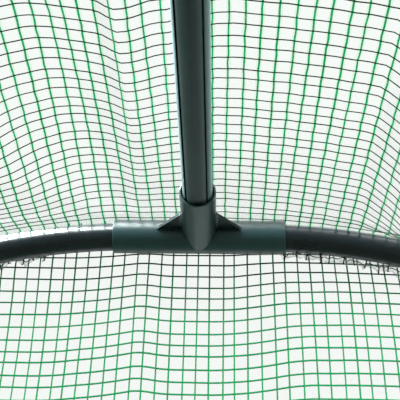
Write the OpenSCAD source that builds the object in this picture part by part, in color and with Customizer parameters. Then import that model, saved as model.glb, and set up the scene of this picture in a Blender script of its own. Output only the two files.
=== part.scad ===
// Walk-in garden greenhouse: three bent steel hoops, push-fit plastic connectors,
// a scrim-reinforced clear cover with a roll-up zipped door and four roll-up windows.
// Millimetres. X across the width, Y along the ridge (door at -Y), Z up, origin on the ground
// at the middle of the footprint.

/* [Tubes] */
// Outside diameter of every frame tube
tube_d = 25; // [24:0.5:25]
// Wall thickness of the tubes
tube_wall = 1; // [0.8:0.1:1.5]

/* [Hoops] */
// Half width of a hoop, measured to the tube's centre line
hoop_half = 980; // [940:5:1020]
// Distance from one hoop to the next
hoop_gap = 980; // [940:5:1020]
// Height of the ridge tube's centre line
ridge_z = 1975; // [1900:5:2050]
// Radius of the bend beside the ridge
crown_r = 540; // [500:10:580]
// Slope of the roof in degrees
roof_pitch = 25; // [20:1:30]
// Radius of the bend at the eaves
eave_r = 280; // [240:10:320]
// Distance from the ridge to the start of its bend
crown_flat = 70; // [66:1:72]
// Angle at which a hoop tube leaves the ridge, taken up by the play in the sleeve
droop = 1.5; // [0:0.1:1.5]
// Height of the waist rails' centre line
waist_z = 1290; // [1200:5:1300]
// Height of the ground rails' centre line
base_z = 18; // [17:0.5:22]

/* [Connectors] */
// Outside diameter of a connector's sleeve
sleeve_d = 30.8; // [30:0.1:31]
// Bore of a sleeve
sleeve_bore = 27.2; // [27.1:0.1:27.4]
// Length of a run's sleeve from the connector's centre
arm = 77.5; // [72:0.5:80]
// Length of a branch's sleeve from the connector's centre
branch = 76; // [70:1:80]
// Distance from the connector's centre to the tube stop
stop = 14; // [13:0.5:16]
// Thickness of the gusset ribs
rib_t = 3; // [2:0.5:4]
// Side of a foot plate
foot = 70; // [60:1:72]
// Thickness of a foot plate
foot_t = 4; // [3:0.5:5]
// Diameter of the anchor hole in a foot plate
anchor_d = 7; // [5:0.5:9]

/* [Cover] */
// Gap between a tube's centre line and the inside of the cover
cover_off = 17.5; // [17.3:0.1:18]
// Thickness that stands for the film
film = 0.5; // [0.4:0.1:1]
// Width of the ground skirt
skirt_w = 120; // [80:5:150]

/* [Door] */
// Width of the doorway
door_w = 1000; // [800:10:1100]
// Height of the doorway's top edge
door_top = 1700; // [1600:10:1720]
// Diameter of the rolled hem at the foot of the door
door_roll_d = 36; // [30:1:40]
// Height of the door roll's centre when the door is shut
door_roll_z = 50; // [45:1:60]

/* [Windows] */
// Width of a window opening
win_w = 560; // [400:10:600]
// Height of a window's lower edge
win_z0 = 350; // [300:10:400]
// Height of a window's upper edge
win_z1 = 1050; // [900:10:1060]
// Diameter of the rolled hem at the foot of a window flap
win_roll_d = 30; // [24:1:32]

/* [Hidden] */
$fn = 64;

STEEL = [0.20, 0.23, 0.24];
PLASTIC = [0.23, 0.30, 0.29];
COVER = [0.80, 0.93, 0.84, 0.35];
WEBBING = [0.10, 0.42, 0.20];
SCREEN = [0.55, 0.68, 0.58, 0.6];
ZIP = [0.12, 0.13, 0.13];
ZINC = [0.70, 0.71, 0.73];

// Y of the end hoops; the middle hoop stands at 0
FRONT = -hoop_gap;
REAR = hoop_gap;
// Signs of the two sides along X
LEFT = -1;
RIGHT = 1;

// Frame
seat = stop + 2;     // where a tube ends inside a sleeve, from the connector's centre
lap = 2;             // how far a straight runs on over a bend's end
ease = 0.2;          // taken off a bend's wall, across its diameters
bay = hoop_gap / 2;  // middle of a bay along Y

// Hoop line, as [x, z] points of its right half
eave_x = hoop_half - eave_r;
// The tube leaves the ridge on a line that crosses ridge_z halfway along its grip in the sleeve
crown_start = [crown_flat, ridge_z - (crown_flat - (seat + arm) / 2) * tan(droop)];
crown_c = crown_start - crown_r * [sin(droop), cos(droop)];
crown_end = crown_c + crown_r * [sin(roof_pitch), cos(roof_pitch)];
rafter_end_x = eave_x + eave_r * sin(roof_pitch);
rafter_end = [
    rafter_end_x,
    crown_end[1] - (rafter_end_x - crown_end[0]) * tan(roof_pitch)
];
eave_c = [eave_x, rafter_end[1] - eave_r * cos(roof_pitch)];

// Cover
wall_in = hoop_gap + cover_off;   // inner face of an end wall
wall_out = wall_in + film;        // outer face of an end wall
side_in = hoop_half + cover_off;  // inner face of a side wall
side_out = side_in + film;        // outer face of a side wall
cover_foot_z = 2;                 // lower edge of the walls
sheet_gap = 0.5;                  // clearance between neighbouring sheets
cut = 5;                          // how far an opening's cutter overshoots

// ---------- helpers ----------
// Mirrors what is drawn at +X when side is LEFT
module on_side(side) if (side < 0) mirror([1, 0, 0]) children(); else children();

// Box centred across X, from y[0] to y[1] and from z[0] to z[1]
module slab(width, y, z) translate([-width / 2, y[0], z[0]])
    cube([width, y[1] - y[0], z[1] - z[0]]);

// Rod along X, centred on the origin
module rod_x(d, length) rotate([0, 90, 0]) cylinder(d = d, h = length, center = true);

// ---------- tubes ----------
// Section of a tube, with its wall thinned by thinning across each diameter
module ring2d(thinning = 0) difference() {
    circle(d = tube_d - thinning);
    circle(d = tube_d - 2 * tube_wall + thinning);
}

// Straight tube between two [x, z] points of a hoop's plane, carried on before and after them
module run(from, to, before = 0, after = 0) {
    span = to - from;
    translate([from[0], 0, from[1]]) rotate([0, atan2(span[0], span[1]), 0])
        translate([0, 0, -before]) linear_extrude(norm(span) + before + after) ring2d();
}

// Bent length about an [x, z] centre in a hoop's plane, between two angles;
// its wall is eased so that it beds inside the straights
module bend(centre, radius, angle0, angle1)
    translate([centre[0], 0, centre[1]]) rotate([90, 0, 0]) rotate([0, 0, angle0])
        rotate_extrude(angle = angle1 - angle0) translate([radius, 0]) ring2d(ease);

// Hoop tube from the ridge connector over the eave and down to the waist connector
module rafter(side, y) color(STEEL) translate([0, y, 0]) on_side(side) {
    run([seat, crown_start[1] + (crown_flat - seat) * tan(droop)], crown_start, 0, lap);
    bend(crown_c, crown_r, 90 - roof_pitch, 90 - droop);
    run(crown_end, rafter_end, lap, lap);
    bend(eave_c, eave_r, 0, 90 - roof_pitch);
    run([hoop_half, waist_z + seat], [hoop_half, eave_c[1]], 0, lap);
}

module leg(side, y) color(STEEL) translate([side * hoop_half, y, base_z + seat])
    linear_extrude(waist_z - base_z - 2 * seat) ring2d();

// Tube along Y from the hoop at y0 to the next one behind it
module rail_y(x, y0, z) color(STEEL) translate([x, y0 + hoop_gap - seat, z]) rotate([90, 0, 0])
    linear_extrude(hoop_gap - 2 * seat) ring2d();
module ridge_tube(y0) rail_y(0, y0, ridge_z);
module waist_rail(side, y0) rail_y(side * hoop_half, y0, waist_z);
module ground_rail(side, y0) rail_y(side * hoop_half, y0, base_z);

module sill_rail(y) color(STEEL) translate([-hoop_half + seat, y, base_z]) rotate([0, 90, 0])
    linear_extrude(2 * (hoop_half - seat)) ring2d();

// ---------- connectors ----------
sleeve_edge = 0.5;   // chamfer round a sleeve's mouth
bore_lead = 0.7;     // chamfer inside a sleeve's mouth, run past the mouth by bore_over
bore_over = 0.1;
foot_inset = 0.4;    // how far a foot plate's outer edge lies inside the sleeve's outline
foot_shift = foot / 2 - sleeve_d / 2 + foot_inset;
anchor_in = 38;      // anchor hole to the leg's centre line
// Corners of a gusset, [x, y] from the connector's centre
GUSSET = [[-9, -48.2], [-43.6, -9], [-9, -9]];

// Sleeve along +Z from the connector's centre, and the bore that goes with it
module sleeve(length = arm) {
    cylinder(d = sleeve_d, h = length - sleeve_edge);
    translate([0, 0, length - sleeve_edge])
        cylinder(d1 = sleeve_d, d2 = sleeve_d - 2 * sleeve_edge, h = sleeve_edge);
}
module bore(length = arm) {
    translate([0, 0, stop]) cylinder(d = sleeve_bore, h = length - stop + 1);
    translate([0, 0, length - bore_lead + bore_over])
        cylinder(d1 = sleeve_bore, d2 = sleeve_bore + 2 * bore_lead, h = bore_lead);
}

// Turns a +Z feature towards a direction
module along(d) {
    if (d == "+x") rotate([0, 90, 0]) children();
    if (d == "-x") rotate([0, -90, 0]) children();
    if (d == "+y") rotate([-90, 0, 0]) children();
    if (d == "-y") rotate([90, 0, 0]) children();
    if (d == "+z") children();
}

// Gusset between the sleeves along -X and -Y, then stood up between -X and +Z, and -Y and +Z
module gusset() translate([0, 0, -rib_t / 2]) linear_extrude(rib_t) polygon(GUSSET);
module gusset_xz() rotate([-90, 0, 0]) gusset();
module gusset_yz() rotate([0, 0, 90]) gusset_xz();

// Connector with its run along X and the given branches, "-y" first, then "+y"
module fitting(branches) color(PLASTIC) difference() {
    union() {
        for (d = ["+x", "-x"]) along(d) sleeve();
        for (d = branches) along(d) sleeve(branch);
        for (mx = [0, 1], my = [0:len(branches) - 1])
            mirror([mx, 0, 0]) mirror([0, my, 0]) gusset();
    }
    for (d = ["+x", "-x"]) along(d) bore();
    for (d = branches) along(d) bore(branch);
}

// Tee of an end hoop, its branch pointing into the greenhouse
module end_tee(y) rotate([0, 0, y < 0 ? 180 : 0]) fitting(["-y"]);
module cross() fitting(["-y", "+y"]);

// Stands a connector's run upright
module upright() rotate([0, 90, 0]) children();

module ridge_tee(y) translate([0, y, ridge_z]) end_tee(y);
module ridge_cross() translate([0, 0, ridge_z]) cross();
module waist_tee(side, y) translate([side * hoop_half, y, waist_z]) upright() end_tee(y);
module waist_cross(side) translate([side * hoop_half, 0, waist_z]) upright() cross();

// Foot plate on the ground, centred on [x, y]
module foot_plate(x, y) translate([x - foot / 2, y - foot / 2, -base_z])
    cube([foot, foot, foot_t]);

// Block that joins the connector's middle to its foot plate
module foot_block(width, depth)
    slab(width, y = [-depth / 2, depth / 2], z = [1 - base_z, -3]);

module anchor_hole(x, y) translate([x, y, -base_z - 1]) cylinder(d = anchor_d, h = foot_t + 2);

// Three-way corner on a foot, for the leg, the ground rail and the sill;
// drawn for the corner at +X +Y, end is -1 at the front and 1 at the rear
module base_corner(side, end) translate([side * hoop_half, end * hoop_gap, base_z]) on_side(side)
    mirror([0, end < 0 ? 1 : 0, 0]) color(PLASTIC) difference() {
        union() {
            for (d = ["-x", "-y", "+z"]) along(d) sleeve();
            sphere(d = sleeve_d);
            gusset_xz();
            gusset_yz();
            foot_plate(-foot_shift, -foot_shift);
            foot_block(12, 6);
        }
        for (d = ["-x", "-y", "+z"]) along(d) bore();
        anchor_hole(-anchor_in, -anchor_in);
    }

// Tee on a foot: run along Y, branch up
module base_tee(side) translate([side * hoop_half, 0, base_z]) on_side(side)
    color(PLASTIC) difference() {
        union() {
            for (d = ["+y", "-y", "+z"]) along(d) sleeve();
            gusset_yz();
            mirror([0, 1, 0]) gusset_yz();
            foot_plate(-foot_shift, 0);
            foot_block(6, 12);
        }
        for (d = ["+y", "-y", "+z"]) along(d) bore();
        anchor_hole(-anchor_in, 0);
    }

// ---------- cover ----------
function arc(centre, radius, angle0, angle1, steps) = [
    for (i = [0:steps]) let (a = angle0 + (angle1 - angle0) * i / steps)
        centre + radius * [cos(a), sin(a)]
];

// Right half of the hoop's outline moved outwards by off, from the ridge down to the foot
function half(off) = concat(
    [[0, ridge_z + off]],
    arc(crown_c, crown_r + off, 90 - droop, 90 - roof_pitch, 8),
    arc(eave_c, eave_r + off, 90 - roof_pitch, 0, 12),
    [[hoop_half + off, cover_foot_z]]
);
// The left half, from the foot up, without the ridge point
function flip(points) = [for (i = [len(points) - 1:-1:1]) [-points[i][0], points[i][1]]];
function outline(off) = concat(flip(half(off)), half(off));
function backwards(points) = [for (i = [len(points) - 1:-1:0]) points[i]];

// Four boxes, one at each window, from x0 to x1 out from the middle
module window_boxes(x0, x1, width, z0, z1) for (side = [LEFT, RIGHT], end = [-1, 1])
    translate([side > 0 ? x0 : -x1, end * bay - width / 2, z0])
        cube([x1 - x0, width, z1 - z0]);

module roof_cover() color(COVER) difference() {
    rotate([90, 0, 0]) linear_extrude(2 * wall_out, center = true)
        polygon(concat(outline(cover_off + film), backwards(outline(cover_off))));
    window_boxes(side_in - cut, side_out + cut, win_w, win_z0, win_z1);
}

// End wall from y0 back by the film's thickness, without openings
module end_sheet(y0) translate([0, y0 + film, 0]) rotate([90, 0, 0]) linear_extrude(film)
    polygon(outline(cover_off - sheet_gap));

module rear_wall() color(COVER) end_sheet(wall_in);

module front_wall() color(COVER) difference() {
    end_sheet(-wall_out);
    slab(door_w, y = [-wall_out - cut, -wall_out + 15], z = [-cut, door_top]);
}

// ---------- door ----------
door_side_gap = 4;           // door flap to the doorway's edge
zip_x = door_w / 2 - 2;      // centre of a zip chain
zip_foot = 30;               // lower end of the zip tapes
zip_head = door_top - 8;     // upper end of the zip tapes
zip_end = 4;                 // tape left beyond the chain, also the height of a stop
roll_to_zip = 16;            // end of the door roll to the chain's centre
door_roll_gap = 1.5;         // door roll to the wall
slider_z = 76;
pin_out = 10.2;              // axis of a slider's pin, out from the wall
pull_t = 1.5;                // thickness of a pull
pull_foot = -34;             // centre of a pull's round end below the pin

module door_flap() color(COVER)
    slab(door_w - 2 * door_side_gap,
        y = [-wall_out, film - wall_out], z = [door_roll_z, door_top - sheet_gap]);

module door_roll() color(COVER)
    translate([0, -(wall_out + door_roll_gap + door_roll_d / 2), door_roll_z])
        rod_x(door_roll_d, 2 * (zip_x - roll_to_zip));

// Sewn tapes, the chain of teeth on them and the two stops, as one sewn-in strip
module door_zip(side) color(ZIP) translate([side * zip_x, -wall_out, 0]) union() {
    slab(28, y = [-0.8, -0.2], z = [zip_foot, zip_head]);
    slab(5.2, y = [-3, -0.6], z = [zip_foot + zip_end, zip_head - zip_end]);
    for (z = [zip_foot + zip_end, zip_head - 2 * zip_end])
        slab(8, y = [-3.4, -0.6], z = [z, z + zip_end]);
}

// Body with two ears and the pin between them, and a channel for the chain
module zip_slider(side) color(ZINC) translate([side * zip_x, -wall_out, slider_z]) difference() {
    ear_x = 3.9;
    union() {
        slab(12, y = [-6.2, -1], z = [-9, 9]);
        for (ear = [-1, 1]) translate([ear * ear_x, 0, 0])
            slab(2.2, y = [-12.2, -5.8], z = [-3, 3]);
        translate([0, -pin_out, 0]) rod_x(2, 10, $fn = 32);
    }
    slab(6.2, y = [-3.6, 0.4], z = [-10, 10]);
}

// Hub on the slider's pin, neck, and a round-ended blade with an eye
module zip_pull(side) color(ZINC)
    translate([side * zip_x, -wall_out - pin_out, slider_z]) difference() {
        blade_w = 8;
        faces = [-pull_t / 2, pull_t / 2];
        union() {
            rod_x(5, 5, $fn = 32);
            slab(5, y = faces, z = [-9, -1]);
            slab(blade_w, y = faces, z = [pull_foot, -8]);
            translate([0, pull_t / 2, pull_foot]) rotate([90, 0, 0])
                cylinder(d = blade_w, h = pull_t, $fn = 32);
        }
        rod_x(2.1, 20, $fn = 32);
        translate([0, 5, pull_foot + 1]) rotate([90, 0, 0]) cylinder(d = 3.4, h = 10, $fn = 32);
    }

// ---------- windows ----------
flap_in = side_out + 0.8;    // inner face of a window flap
flap_out = flap_in + film;
flap_foot_z = win_z0 + 5;    // lower edge of a flap and axis of its roll
flap_lap = 30;               // flap beyond the opening at the sides and top
roll_lap = 20;               // roll beyond the opening at each end
win_roll_gap = 1.2;          // window roll to its flap

module window_screens() color(SCREEN)
    window_boxes(side_in, side_out, win_w - 2 * sheet_gap,
        win_z0 + sheet_gap, win_z1 - sheet_gap);

module window_flaps() color(COVER)
    window_boxes(flap_in, flap_out, win_w + 2 * flap_lap, flap_foot_z, win_z1 + flap_lap);

module window_roll(side, end) color(COVER)
    translate([side * (flap_out + win_roll_gap + win_roll_d / 2),
            end * bay + win_w / 2 + roll_lap, flap_foot_z])
        rotate([90, 0, 0]) cylinder(d = win_roll_d, h = win_w + 2 * roll_lap);

// ---------- skirt and pegs ----------
skirt_gap = 1;               // skirt to the walls
skirt_z = 0.4;               // underside of the skirt
skirt_far = side_out + skirt_gap + skirt_w;
skirt_mid = side_out + skirt_gap + skirt_w / 2;
skirt_end_x = side_out + 0.5;  // outer ends of the front and rear strips
skirt_door_gap = 20;         // front strips to the doorway
peg_hole_d = 9;
peg_r = 3;
peg_shank = 180;             // depth of the full-thickness shank
peg_tip = 15;                // length of the point below it
hook_z = 16;                 // height at which the hook starts
hook_r = 9;                  // radius of the hook's centre line
hook_end = 8;                // straight length after the hook

// Pegs: x, y, turn about Z that points the hook at the greenhouse
peg_spots = [
    for (side = [LEFT, RIGHT], y = [-900, 0, 900]) [side * skirt_mid, y, side > 0 ? 0 : 180],
    [-500, skirt_mid, 90],
    [500, skirt_mid, 90]
];

// Strip of skirt between two corners given as [x, y]
module skirt_strip(low, high) translate([low[0], low[1], skirt_z])
    cube([high[0] - low[0], high[1] - low[1], film]);

module ground_skirt() color(COVER) difference() {
    union() {
        for (side = [LEFT, RIGHT]) on_side(side) {
            skirt_strip([side_out + skirt_gap, -skirt_far], [skirt_far, skirt_far]);
            skirt_strip([door_w / 2 + skirt_door_gap, -skirt_far],
                [skirt_end_x, skirt_w - skirt_far]);
        }
        skirt_strip([-skirt_end_x, wall_out + skirt_gap],
            [skirt_end_x, wall_out + skirt_gap + skirt_w]);
    }
    for (spot = peg_spots) translate([spot[0], spot[1], -5]) cylinder(d = peg_hole_d, h = 10);
}

// Hooked steel pin, driven through the skirt into the soil; the hook turns over towards -X
module peg() {
    translate([0, 0, -peg_shank]) cylinder(r = peg_r, h = peg_shank + hook_z);
    translate([0, 0, -peg_shank - peg_tip]) cylinder(r1 = 0.6, r2 = peg_r, h = peg_tip);
    translate([-hook_r, 0, hook_z]) rotate([90, 0, 0])
        rotate_extrude(angle = 180, $fn = 96) translate([hook_r, 0]) circle(r = peg_r, $fn = 32);
    translate([-2 * hook_r, 0, hook_z - hook_end]) cylinder(r = peg_r, h = hook_end);
}

module ground_pegs() color(ZINC) for (spot = peg_spots)
    translate([spot[0], spot[1], 0]) rotate([0, 0, spot[2]]) peg();

// ---------- ties ----------
leg_tie_z = 640;             // height of the bands on the legs
tab_t = 1.2;                 // thickness of a webbing tab
toggle_z = 66;               // height of a toggle on its tab

// Hook-and-loop band round a tube
module band() difference() {
    cylinder(d = tube_d + 3, h = 22, center = true);
    cylinder(d = tube_d + 0.6, h = 30, center = true);
}

module frame_ties() color(WEBBING) {
    slope_mid = (crown_end + rafter_end) / 2;
    for (y = [FRONT, 0, REAR], side = [LEFT, RIGHT]) {
        translate([0, y, 0]) on_side(side) translate([slope_mid[0], 0, slope_mid[1]])
            rotate([0, 90 + roof_pitch, 0]) band();
        translate([side * hoop_half, y, leg_tie_z]) band();
    }
    for (y = [-bay, bay]) {
        for (side = [LEFT, RIGHT])
            translate([side * hoop_half, y, waist_z]) rotate([90, 0, 0]) band();
        translate([0, y, ridge_z]) rotate([90, 0, 0]) band();
    }
}

// Webbing tab with a toggle on a short stem, facing -Y
module tie_tab() {
    slab(24, y = [0, tab_t], z = [0, 84]);
    slab(8, y = [-6, 0.2], z = [toggle_z - 1, toggle_z + 1]);
    translate([0, -8.2, toggle_z]) rod_x(8, 34, $fn = 32);
}

// Tabs sewn above the door and the windows, that hold a rolled flap up
module tie_straps() color(WEBBING) {
    for (side = [LEFT, RIGHT]) translate([side * 260, -wall_out - 2, door_top + 8]) tie_tab();
    for (side = [LEFT, RIGHT], end = [-1, 1], offset_y = [-170, 170])
        translate([side * flap_in, end * bay + offset_y, win_z1 + 34])
            rotate([0, 0, side * 90]) translate([0, -tab_t, 0]) tie_tab();
}

ridge_tee(FRONT);  // front_ridge_tee
ridge_cross();  // middle_ridge_cross
ridge_tee(REAR);  // rear_ridge_tee
ridge_tube(FRONT);  // front_ridge_tube
ridge_tube(0);  // rear_ridge_tube
rafter(LEFT, FRONT);  // front_left_rafter
rafter(RIGHT, FRONT);  // front_right_rafter
rafter(LEFT, 0);  // middle_left_rafter
rafter(RIGHT, 0);  // middle_right_rafter
rafter(LEFT, REAR);  // rear_left_rafter
rafter(RIGHT, REAR);  // rear_right_rafter
leg(LEFT, FRONT);  // front_left_leg
leg(RIGHT, FRONT);  // front_right_leg
leg(LEFT, 0);  // middle_left_leg
leg(RIGHT, 0);  // middle_right_leg
leg(LEFT, REAR);  // rear_left_leg
leg(RIGHT, REAR);  // rear_right_leg
waist_tee(LEFT, FRONT);  // front_left_waist_tee
waist_tee(RIGHT, FRONT);  // front_right_waist_tee
waist_tee(LEFT, REAR);  // rear_left_waist_tee
waist_tee(RIGHT, REAR);  // rear_right_waist_tee
waist_cross(LEFT);  // middle_left_waist_cross
waist_cross(RIGHT);  // middle_right_waist_cross
waist_rail(LEFT, FRONT);  // front_left_waist_rail
waist_rail(RIGHT, FRONT);  // front_right_waist_rail
waist_rail(LEFT, 0);  // rear_left_waist_rail
waist_rail(RIGHT, 0);  // rear_right_waist_rail
base_corner(LEFT, -1);  // front_left_base_corner
base_corner(RIGHT, -1);  // front_right_base_corner
base_corner(LEFT, 1);  // rear_left_base_corner
base_corner(RIGHT, 1);  // rear_right_base_corner
base_tee(LEFT);  // middle_left_base_tee
base_tee(RIGHT);  // middle_right_base_tee
ground_rail(LEFT, FRONT);  // front_left_ground_rail
ground_rail(RIGHT, FRONT);  // front_right_ground_rail
ground_rail(LEFT, 0);  // rear_left_ground_rail
ground_rail(RIGHT, 0);  // rear_right_ground_rail
sill_rail(FRONT);  // front_sill_rail
sill_rail(REAR);  // rear_sill_rail
roof_cover();
rear_wall();
front_wall();
door_flap();
door_zip(LEFT);  // left_door_zip
door_zip(RIGHT);  // right_door_zip
ground_skirt();
window_screens();
window_flaps();
door_roll();
zip_slider(LEFT);  // left_zip_slider
zip_slider(RIGHT);  // right_zip_slider
zip_pull(LEFT);  // left_zip_pull
zip_pull(RIGHT);  // right_zip_pull
window_roll(LEFT, -1);  // front_left_window_roll
window_roll(RIGHT, -1);  // front_right_window_roll
window_roll(LEFT, 1);  // rear_left_window_roll
window_roll(RIGHT, 1);  // rear_right_window_roll
ground_pegs();
frame_ties();
tie_straps();
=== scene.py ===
"""Walk-in tunnel greenhouse: a clear cover with a woven grid of threads, on a frame of hoops.

X runs across the house (left is -), Y along it (the front wall with the door is -, the rear
wall +) and Z up from the ground. Hoops stand at y = -0.98, 0 and 0.98. The tubes, connectors,
zip sliders and pegs are CAD parts that only take a finish; the rest is modelled here.
Sizes are in metres.
"""

import math

import bpy
import numpy as np
from mathutils import Matrix, Vector


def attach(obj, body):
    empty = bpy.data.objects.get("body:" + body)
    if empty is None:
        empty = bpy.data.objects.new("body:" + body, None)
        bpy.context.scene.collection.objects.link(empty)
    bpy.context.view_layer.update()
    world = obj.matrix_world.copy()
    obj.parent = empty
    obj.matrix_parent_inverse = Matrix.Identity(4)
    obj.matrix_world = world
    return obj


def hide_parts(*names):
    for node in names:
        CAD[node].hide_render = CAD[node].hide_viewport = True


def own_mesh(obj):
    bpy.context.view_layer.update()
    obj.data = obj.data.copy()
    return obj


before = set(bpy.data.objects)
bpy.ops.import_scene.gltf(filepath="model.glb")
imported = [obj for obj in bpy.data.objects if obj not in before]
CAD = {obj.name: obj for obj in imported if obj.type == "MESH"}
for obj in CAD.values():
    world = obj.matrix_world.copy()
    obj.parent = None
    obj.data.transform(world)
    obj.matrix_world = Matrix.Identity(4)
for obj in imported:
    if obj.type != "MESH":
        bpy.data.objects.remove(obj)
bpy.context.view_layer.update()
scene = bpy.context.scene

# ---------------------------------------------------------------- driving sizes, as in the CAD
HOOP_X = 0.980  # centre line of the legs
HOOP_GAP = 0.980  # from hoop to hoop
BAY = HOOP_GAP / 2
RIDGE_Z = 1.975
CROWN_RADIUS, CROWN_FLAT = 0.540, 0.070
DROOP, SLOPE = math.radians(1.5), math.radians(25)  # at the ridge sleeve, and of the roof
EAVE_RADIUS = 0.280
WAIST_Z, BASE_Z = 1.290, 0.018  # the side rails
SLEEVE_HALF = 0.04675
FILM_OFFSET = 0.01775  # tube centre line to the middle of the film
FILM_THICK = 0.0002
WALL_Y = HOOP_GAP + FILM_OFFSET
OUTSIDE = HOOP_X + 0.018  # outer face of the cover, sides and ends alike
FLAP_X = OUTSIDE + 0.00105

DOOR_WIDTH, DOOR_TOP = 1.000, 1.700
DOOR_HALF = DOOR_WIDTH / 2
DOOR_ROLL_Z, DOOR_ROLL_D = 0.050, 0.036
ZIP_X = 0.498
WIN_WIDTH, WIN_BOTTOM, WIN_TOP = 0.560, 0.350, 1.050
WIN_HALF = WIN_WIDTH / 2
WIN_ROLL_D = 0.030

# spacing of the grid threads: on the roof, then on walls, flaps and skirt
PITCH_ALONG, PITCH_ACROSS = 0.0112, 0.01055
PITCH_UPRIGHT, PITCH_LEVEL = 0.01125, 0.0110
PHASE = (0, 6.28)  # range of random wave phases

SIDES = ((-1, "left"), (1, "right"))
ENDS = ((-1, "front"), (1, "rear"))
X_AXIS, Y_AXIS, Z_AXIS = np.eye(3)


def smooth(value, start, end):
    """0 at start, 1 at end, eased between; start may be above end."""
    share = np.clip((np.asarray(value, float) - start) / (end - start), 0, 1)
    return share * share * (3 - 2 * share)


def unit(vector):
    return vector / np.maximum(np.linalg.norm(vector, axis=-1, keepdims=True), 1e-12)


def points(x, y, z):
    return np.stack(np.broadcast_arrays(x, y, z), -1)


def stations(*spans):
    """Sorted places along a line from (start, end, step) spans."""
    runs = [np.linspace(a, b, max(1, int(round(abs(b - a) / step))) + 1) for a, b, step in spans]
    return np.unique(np.round(np.concatenate(runs), 6))


def mirrored(values):
    return np.unique(np.concatenate([-values, values]))


# ---------------------------------------------------------------- outline of the cover
CROWN_START = np.array([CROWN_FLAT, RIDGE_Z - (CROWN_FLAT - SLEEVE_HALF) * math.tan(DROOP)])
CROWN_CENTRE = CROWN_START - CROWN_RADIUS * np.array([math.sin(DROOP), math.cos(DROOP)])
CROWN_END = CROWN_CENTRE + CROWN_RADIUS * np.array([math.sin(SLOPE), math.cos(SLOPE)])
EAVE_X = HOOP_X - EAVE_RADIUS
_eave_start_x = EAVE_X + EAVE_RADIUS * math.sin(SLOPE)
EAVE_START = np.array(
    [_eave_start_x, CROWN_END[1] - (_eave_start_x - CROWN_END[0]) * math.tan(SLOPE)]
)
EAVE_Z = EAVE_START[1] - EAVE_RADIUS * math.cos(SLOPE)


def cover_outline():
    """Right half of the film's middle surface, ridge to ground: distance round, x, z."""

    def arc(centre, radius, angles):
        rim = np.stack([np.cos(angles), np.sin(angles)], 1)
        return np.asarray(centre) + (radius + FILM_OFFSET) * rim

    flat_x = np.linspace(0, CROWN_FLAT + FILM_OFFSET * math.sin(DROOP), 40)
    flat_end_z = CROWN_START[1] + FILM_OFFSET * math.cos(DROOP)
    flat_z = np.linspace(RIDGE_Z + FILM_OFFSET, flat_end_z, 40)
    crown = np.linspace(math.pi / 2 - DROOP, math.pi / 2 - SLOPE, 160)[1:]
    eave = np.linspace(math.pi / 2 - SLOPE, 0, 200)
    leg_z = np.linspace(EAVE_Z, 0.002, 101)[1:]
    line = np.concatenate([
        np.stack([flat_x, flat_z], 1),
        arc(CROWN_CENTRE, CROWN_RADIUS, crown),
        arc((EAVE_X, EAVE_Z), EAVE_RADIUS, eave),
        np.stack([np.full(100, HOOP_X + FILM_OFFSET), leg_z], 1),
    ])
    reach = np.r_[0, np.cumsum(np.hypot(*np.diff(line, axis=0).T))]
    around = np.linspace(0, reach[-1], 2400)
    return around, np.interp(around, reach, line[:, 0]), np.interp(around, reach, line[:, 1])


def cover_normals():
    """Outward x and z along the outline, averaged over 25 places."""

    def average(values):
        return np.convolve(np.pad(values, 12, mode="edge"), np.ones(25) / 25, mode="valid")

    out_x = average(-np.gradient(COVER_Z, AROUND))
    out_z = average(np.gradient(COVER_X, AROUND))
    length = np.hypot(out_x, out_z)
    return out_x / length, out_z / length


AROUND, COVER_X, COVER_Z = cover_outline()
COVER_OUT_X, COVER_OUT_Z = cover_normals()
# the slope of the outline runs down on the right, so its outward x is positive
HALF_ROUND = AROUND[-1]  # length of film from the ridge to the ground


def cover_at(around):
    """x, z and outward x, z at a distance round from the ridge; positive is on the right."""
    reach, side = np.abs(around), np.sign(around)
    return (
        side * np.interp(reach, AROUND, COVER_X),
        np.interp(reach, AROUND, COVER_Z),
        side * np.interp(reach, AROUND, COVER_OUT_X),
        np.interp(reach, AROUND, COVER_OUT_Z),
    )


def width_at(z):
    """Half width of the cover at height z."""
    return np.interp(z, COVER_Z[::-1], COVER_X[::-1])


def round_at(z):
    """Distance round from the ridge to height z."""
    return float(np.interp(z, COVER_Z[::-1], AROUND[::-1]))


def top_of(x):
    """Height of the cover over a place x across the greenhouse."""
    roof = AROUND < round_at(EAVE_Z)
    return np.interp(np.abs(x), COVER_X[roof], COVER_Z[roof])


WIN_ROUND = (round_at(WIN_TOP), round_at(WIN_BOTTOM))
WIN_EDGES_Y = (-(BAY + WIN_HALF), -(BAY - WIN_HALF), BAY - WIN_HALF, BAY + WIN_HALF)


# ---------------------------------------------------------------- how the film lies
TUBE_CLEAR = 0.0158  # radius the film keeps off a tube's centre line

# waves of the slack film: length, lean, height, phase
WAVES = [
    (0.31, 0.4, 0.0031, 0.9), (0.19, -0.7, 0.0024, 2.1), (0.43, 1.1, 0.0036, 4.4),
    (0.125, 0.25, 0.0012, 0.3), (0.27, -1.6, 0.0022, 5.2),
]

# bulge of the rear wall below the ridge, in mm: places across, then bulge before scaling
BULGE_UPPER = (
    [-200, -182, -146, -110, -92, -74, -56, -39, -4, 30, 48, 65, 99, 116, 200],
    [12, 11.9, 7.6, 6.7, 4.4, 0.3, -4.1, -0.4, 0.7, 0, -6, -8.5, -7, -11, -9],
)
BULGE_LOWER = (
    [-200, -175, -140, -123, -105, -88, -70, -53, -37, -20,
     14, 30, 47, 63, 80, 96, 128, 160, 200],
    [16.5, 16.4, 15.4, 13, 7.9, 5.3, 0.3, -4.3, -0.4, 1.6,
     2.4, 0, -2.4, -5.2, -10.3, -14.2, -17, -16, -12],
)


def bell(x, centre, left, right):
    """A hump with its own width on each side."""
    return np.exp(-(((x - centre) / np.where(x < centre, left, right)) ** 2))


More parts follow.
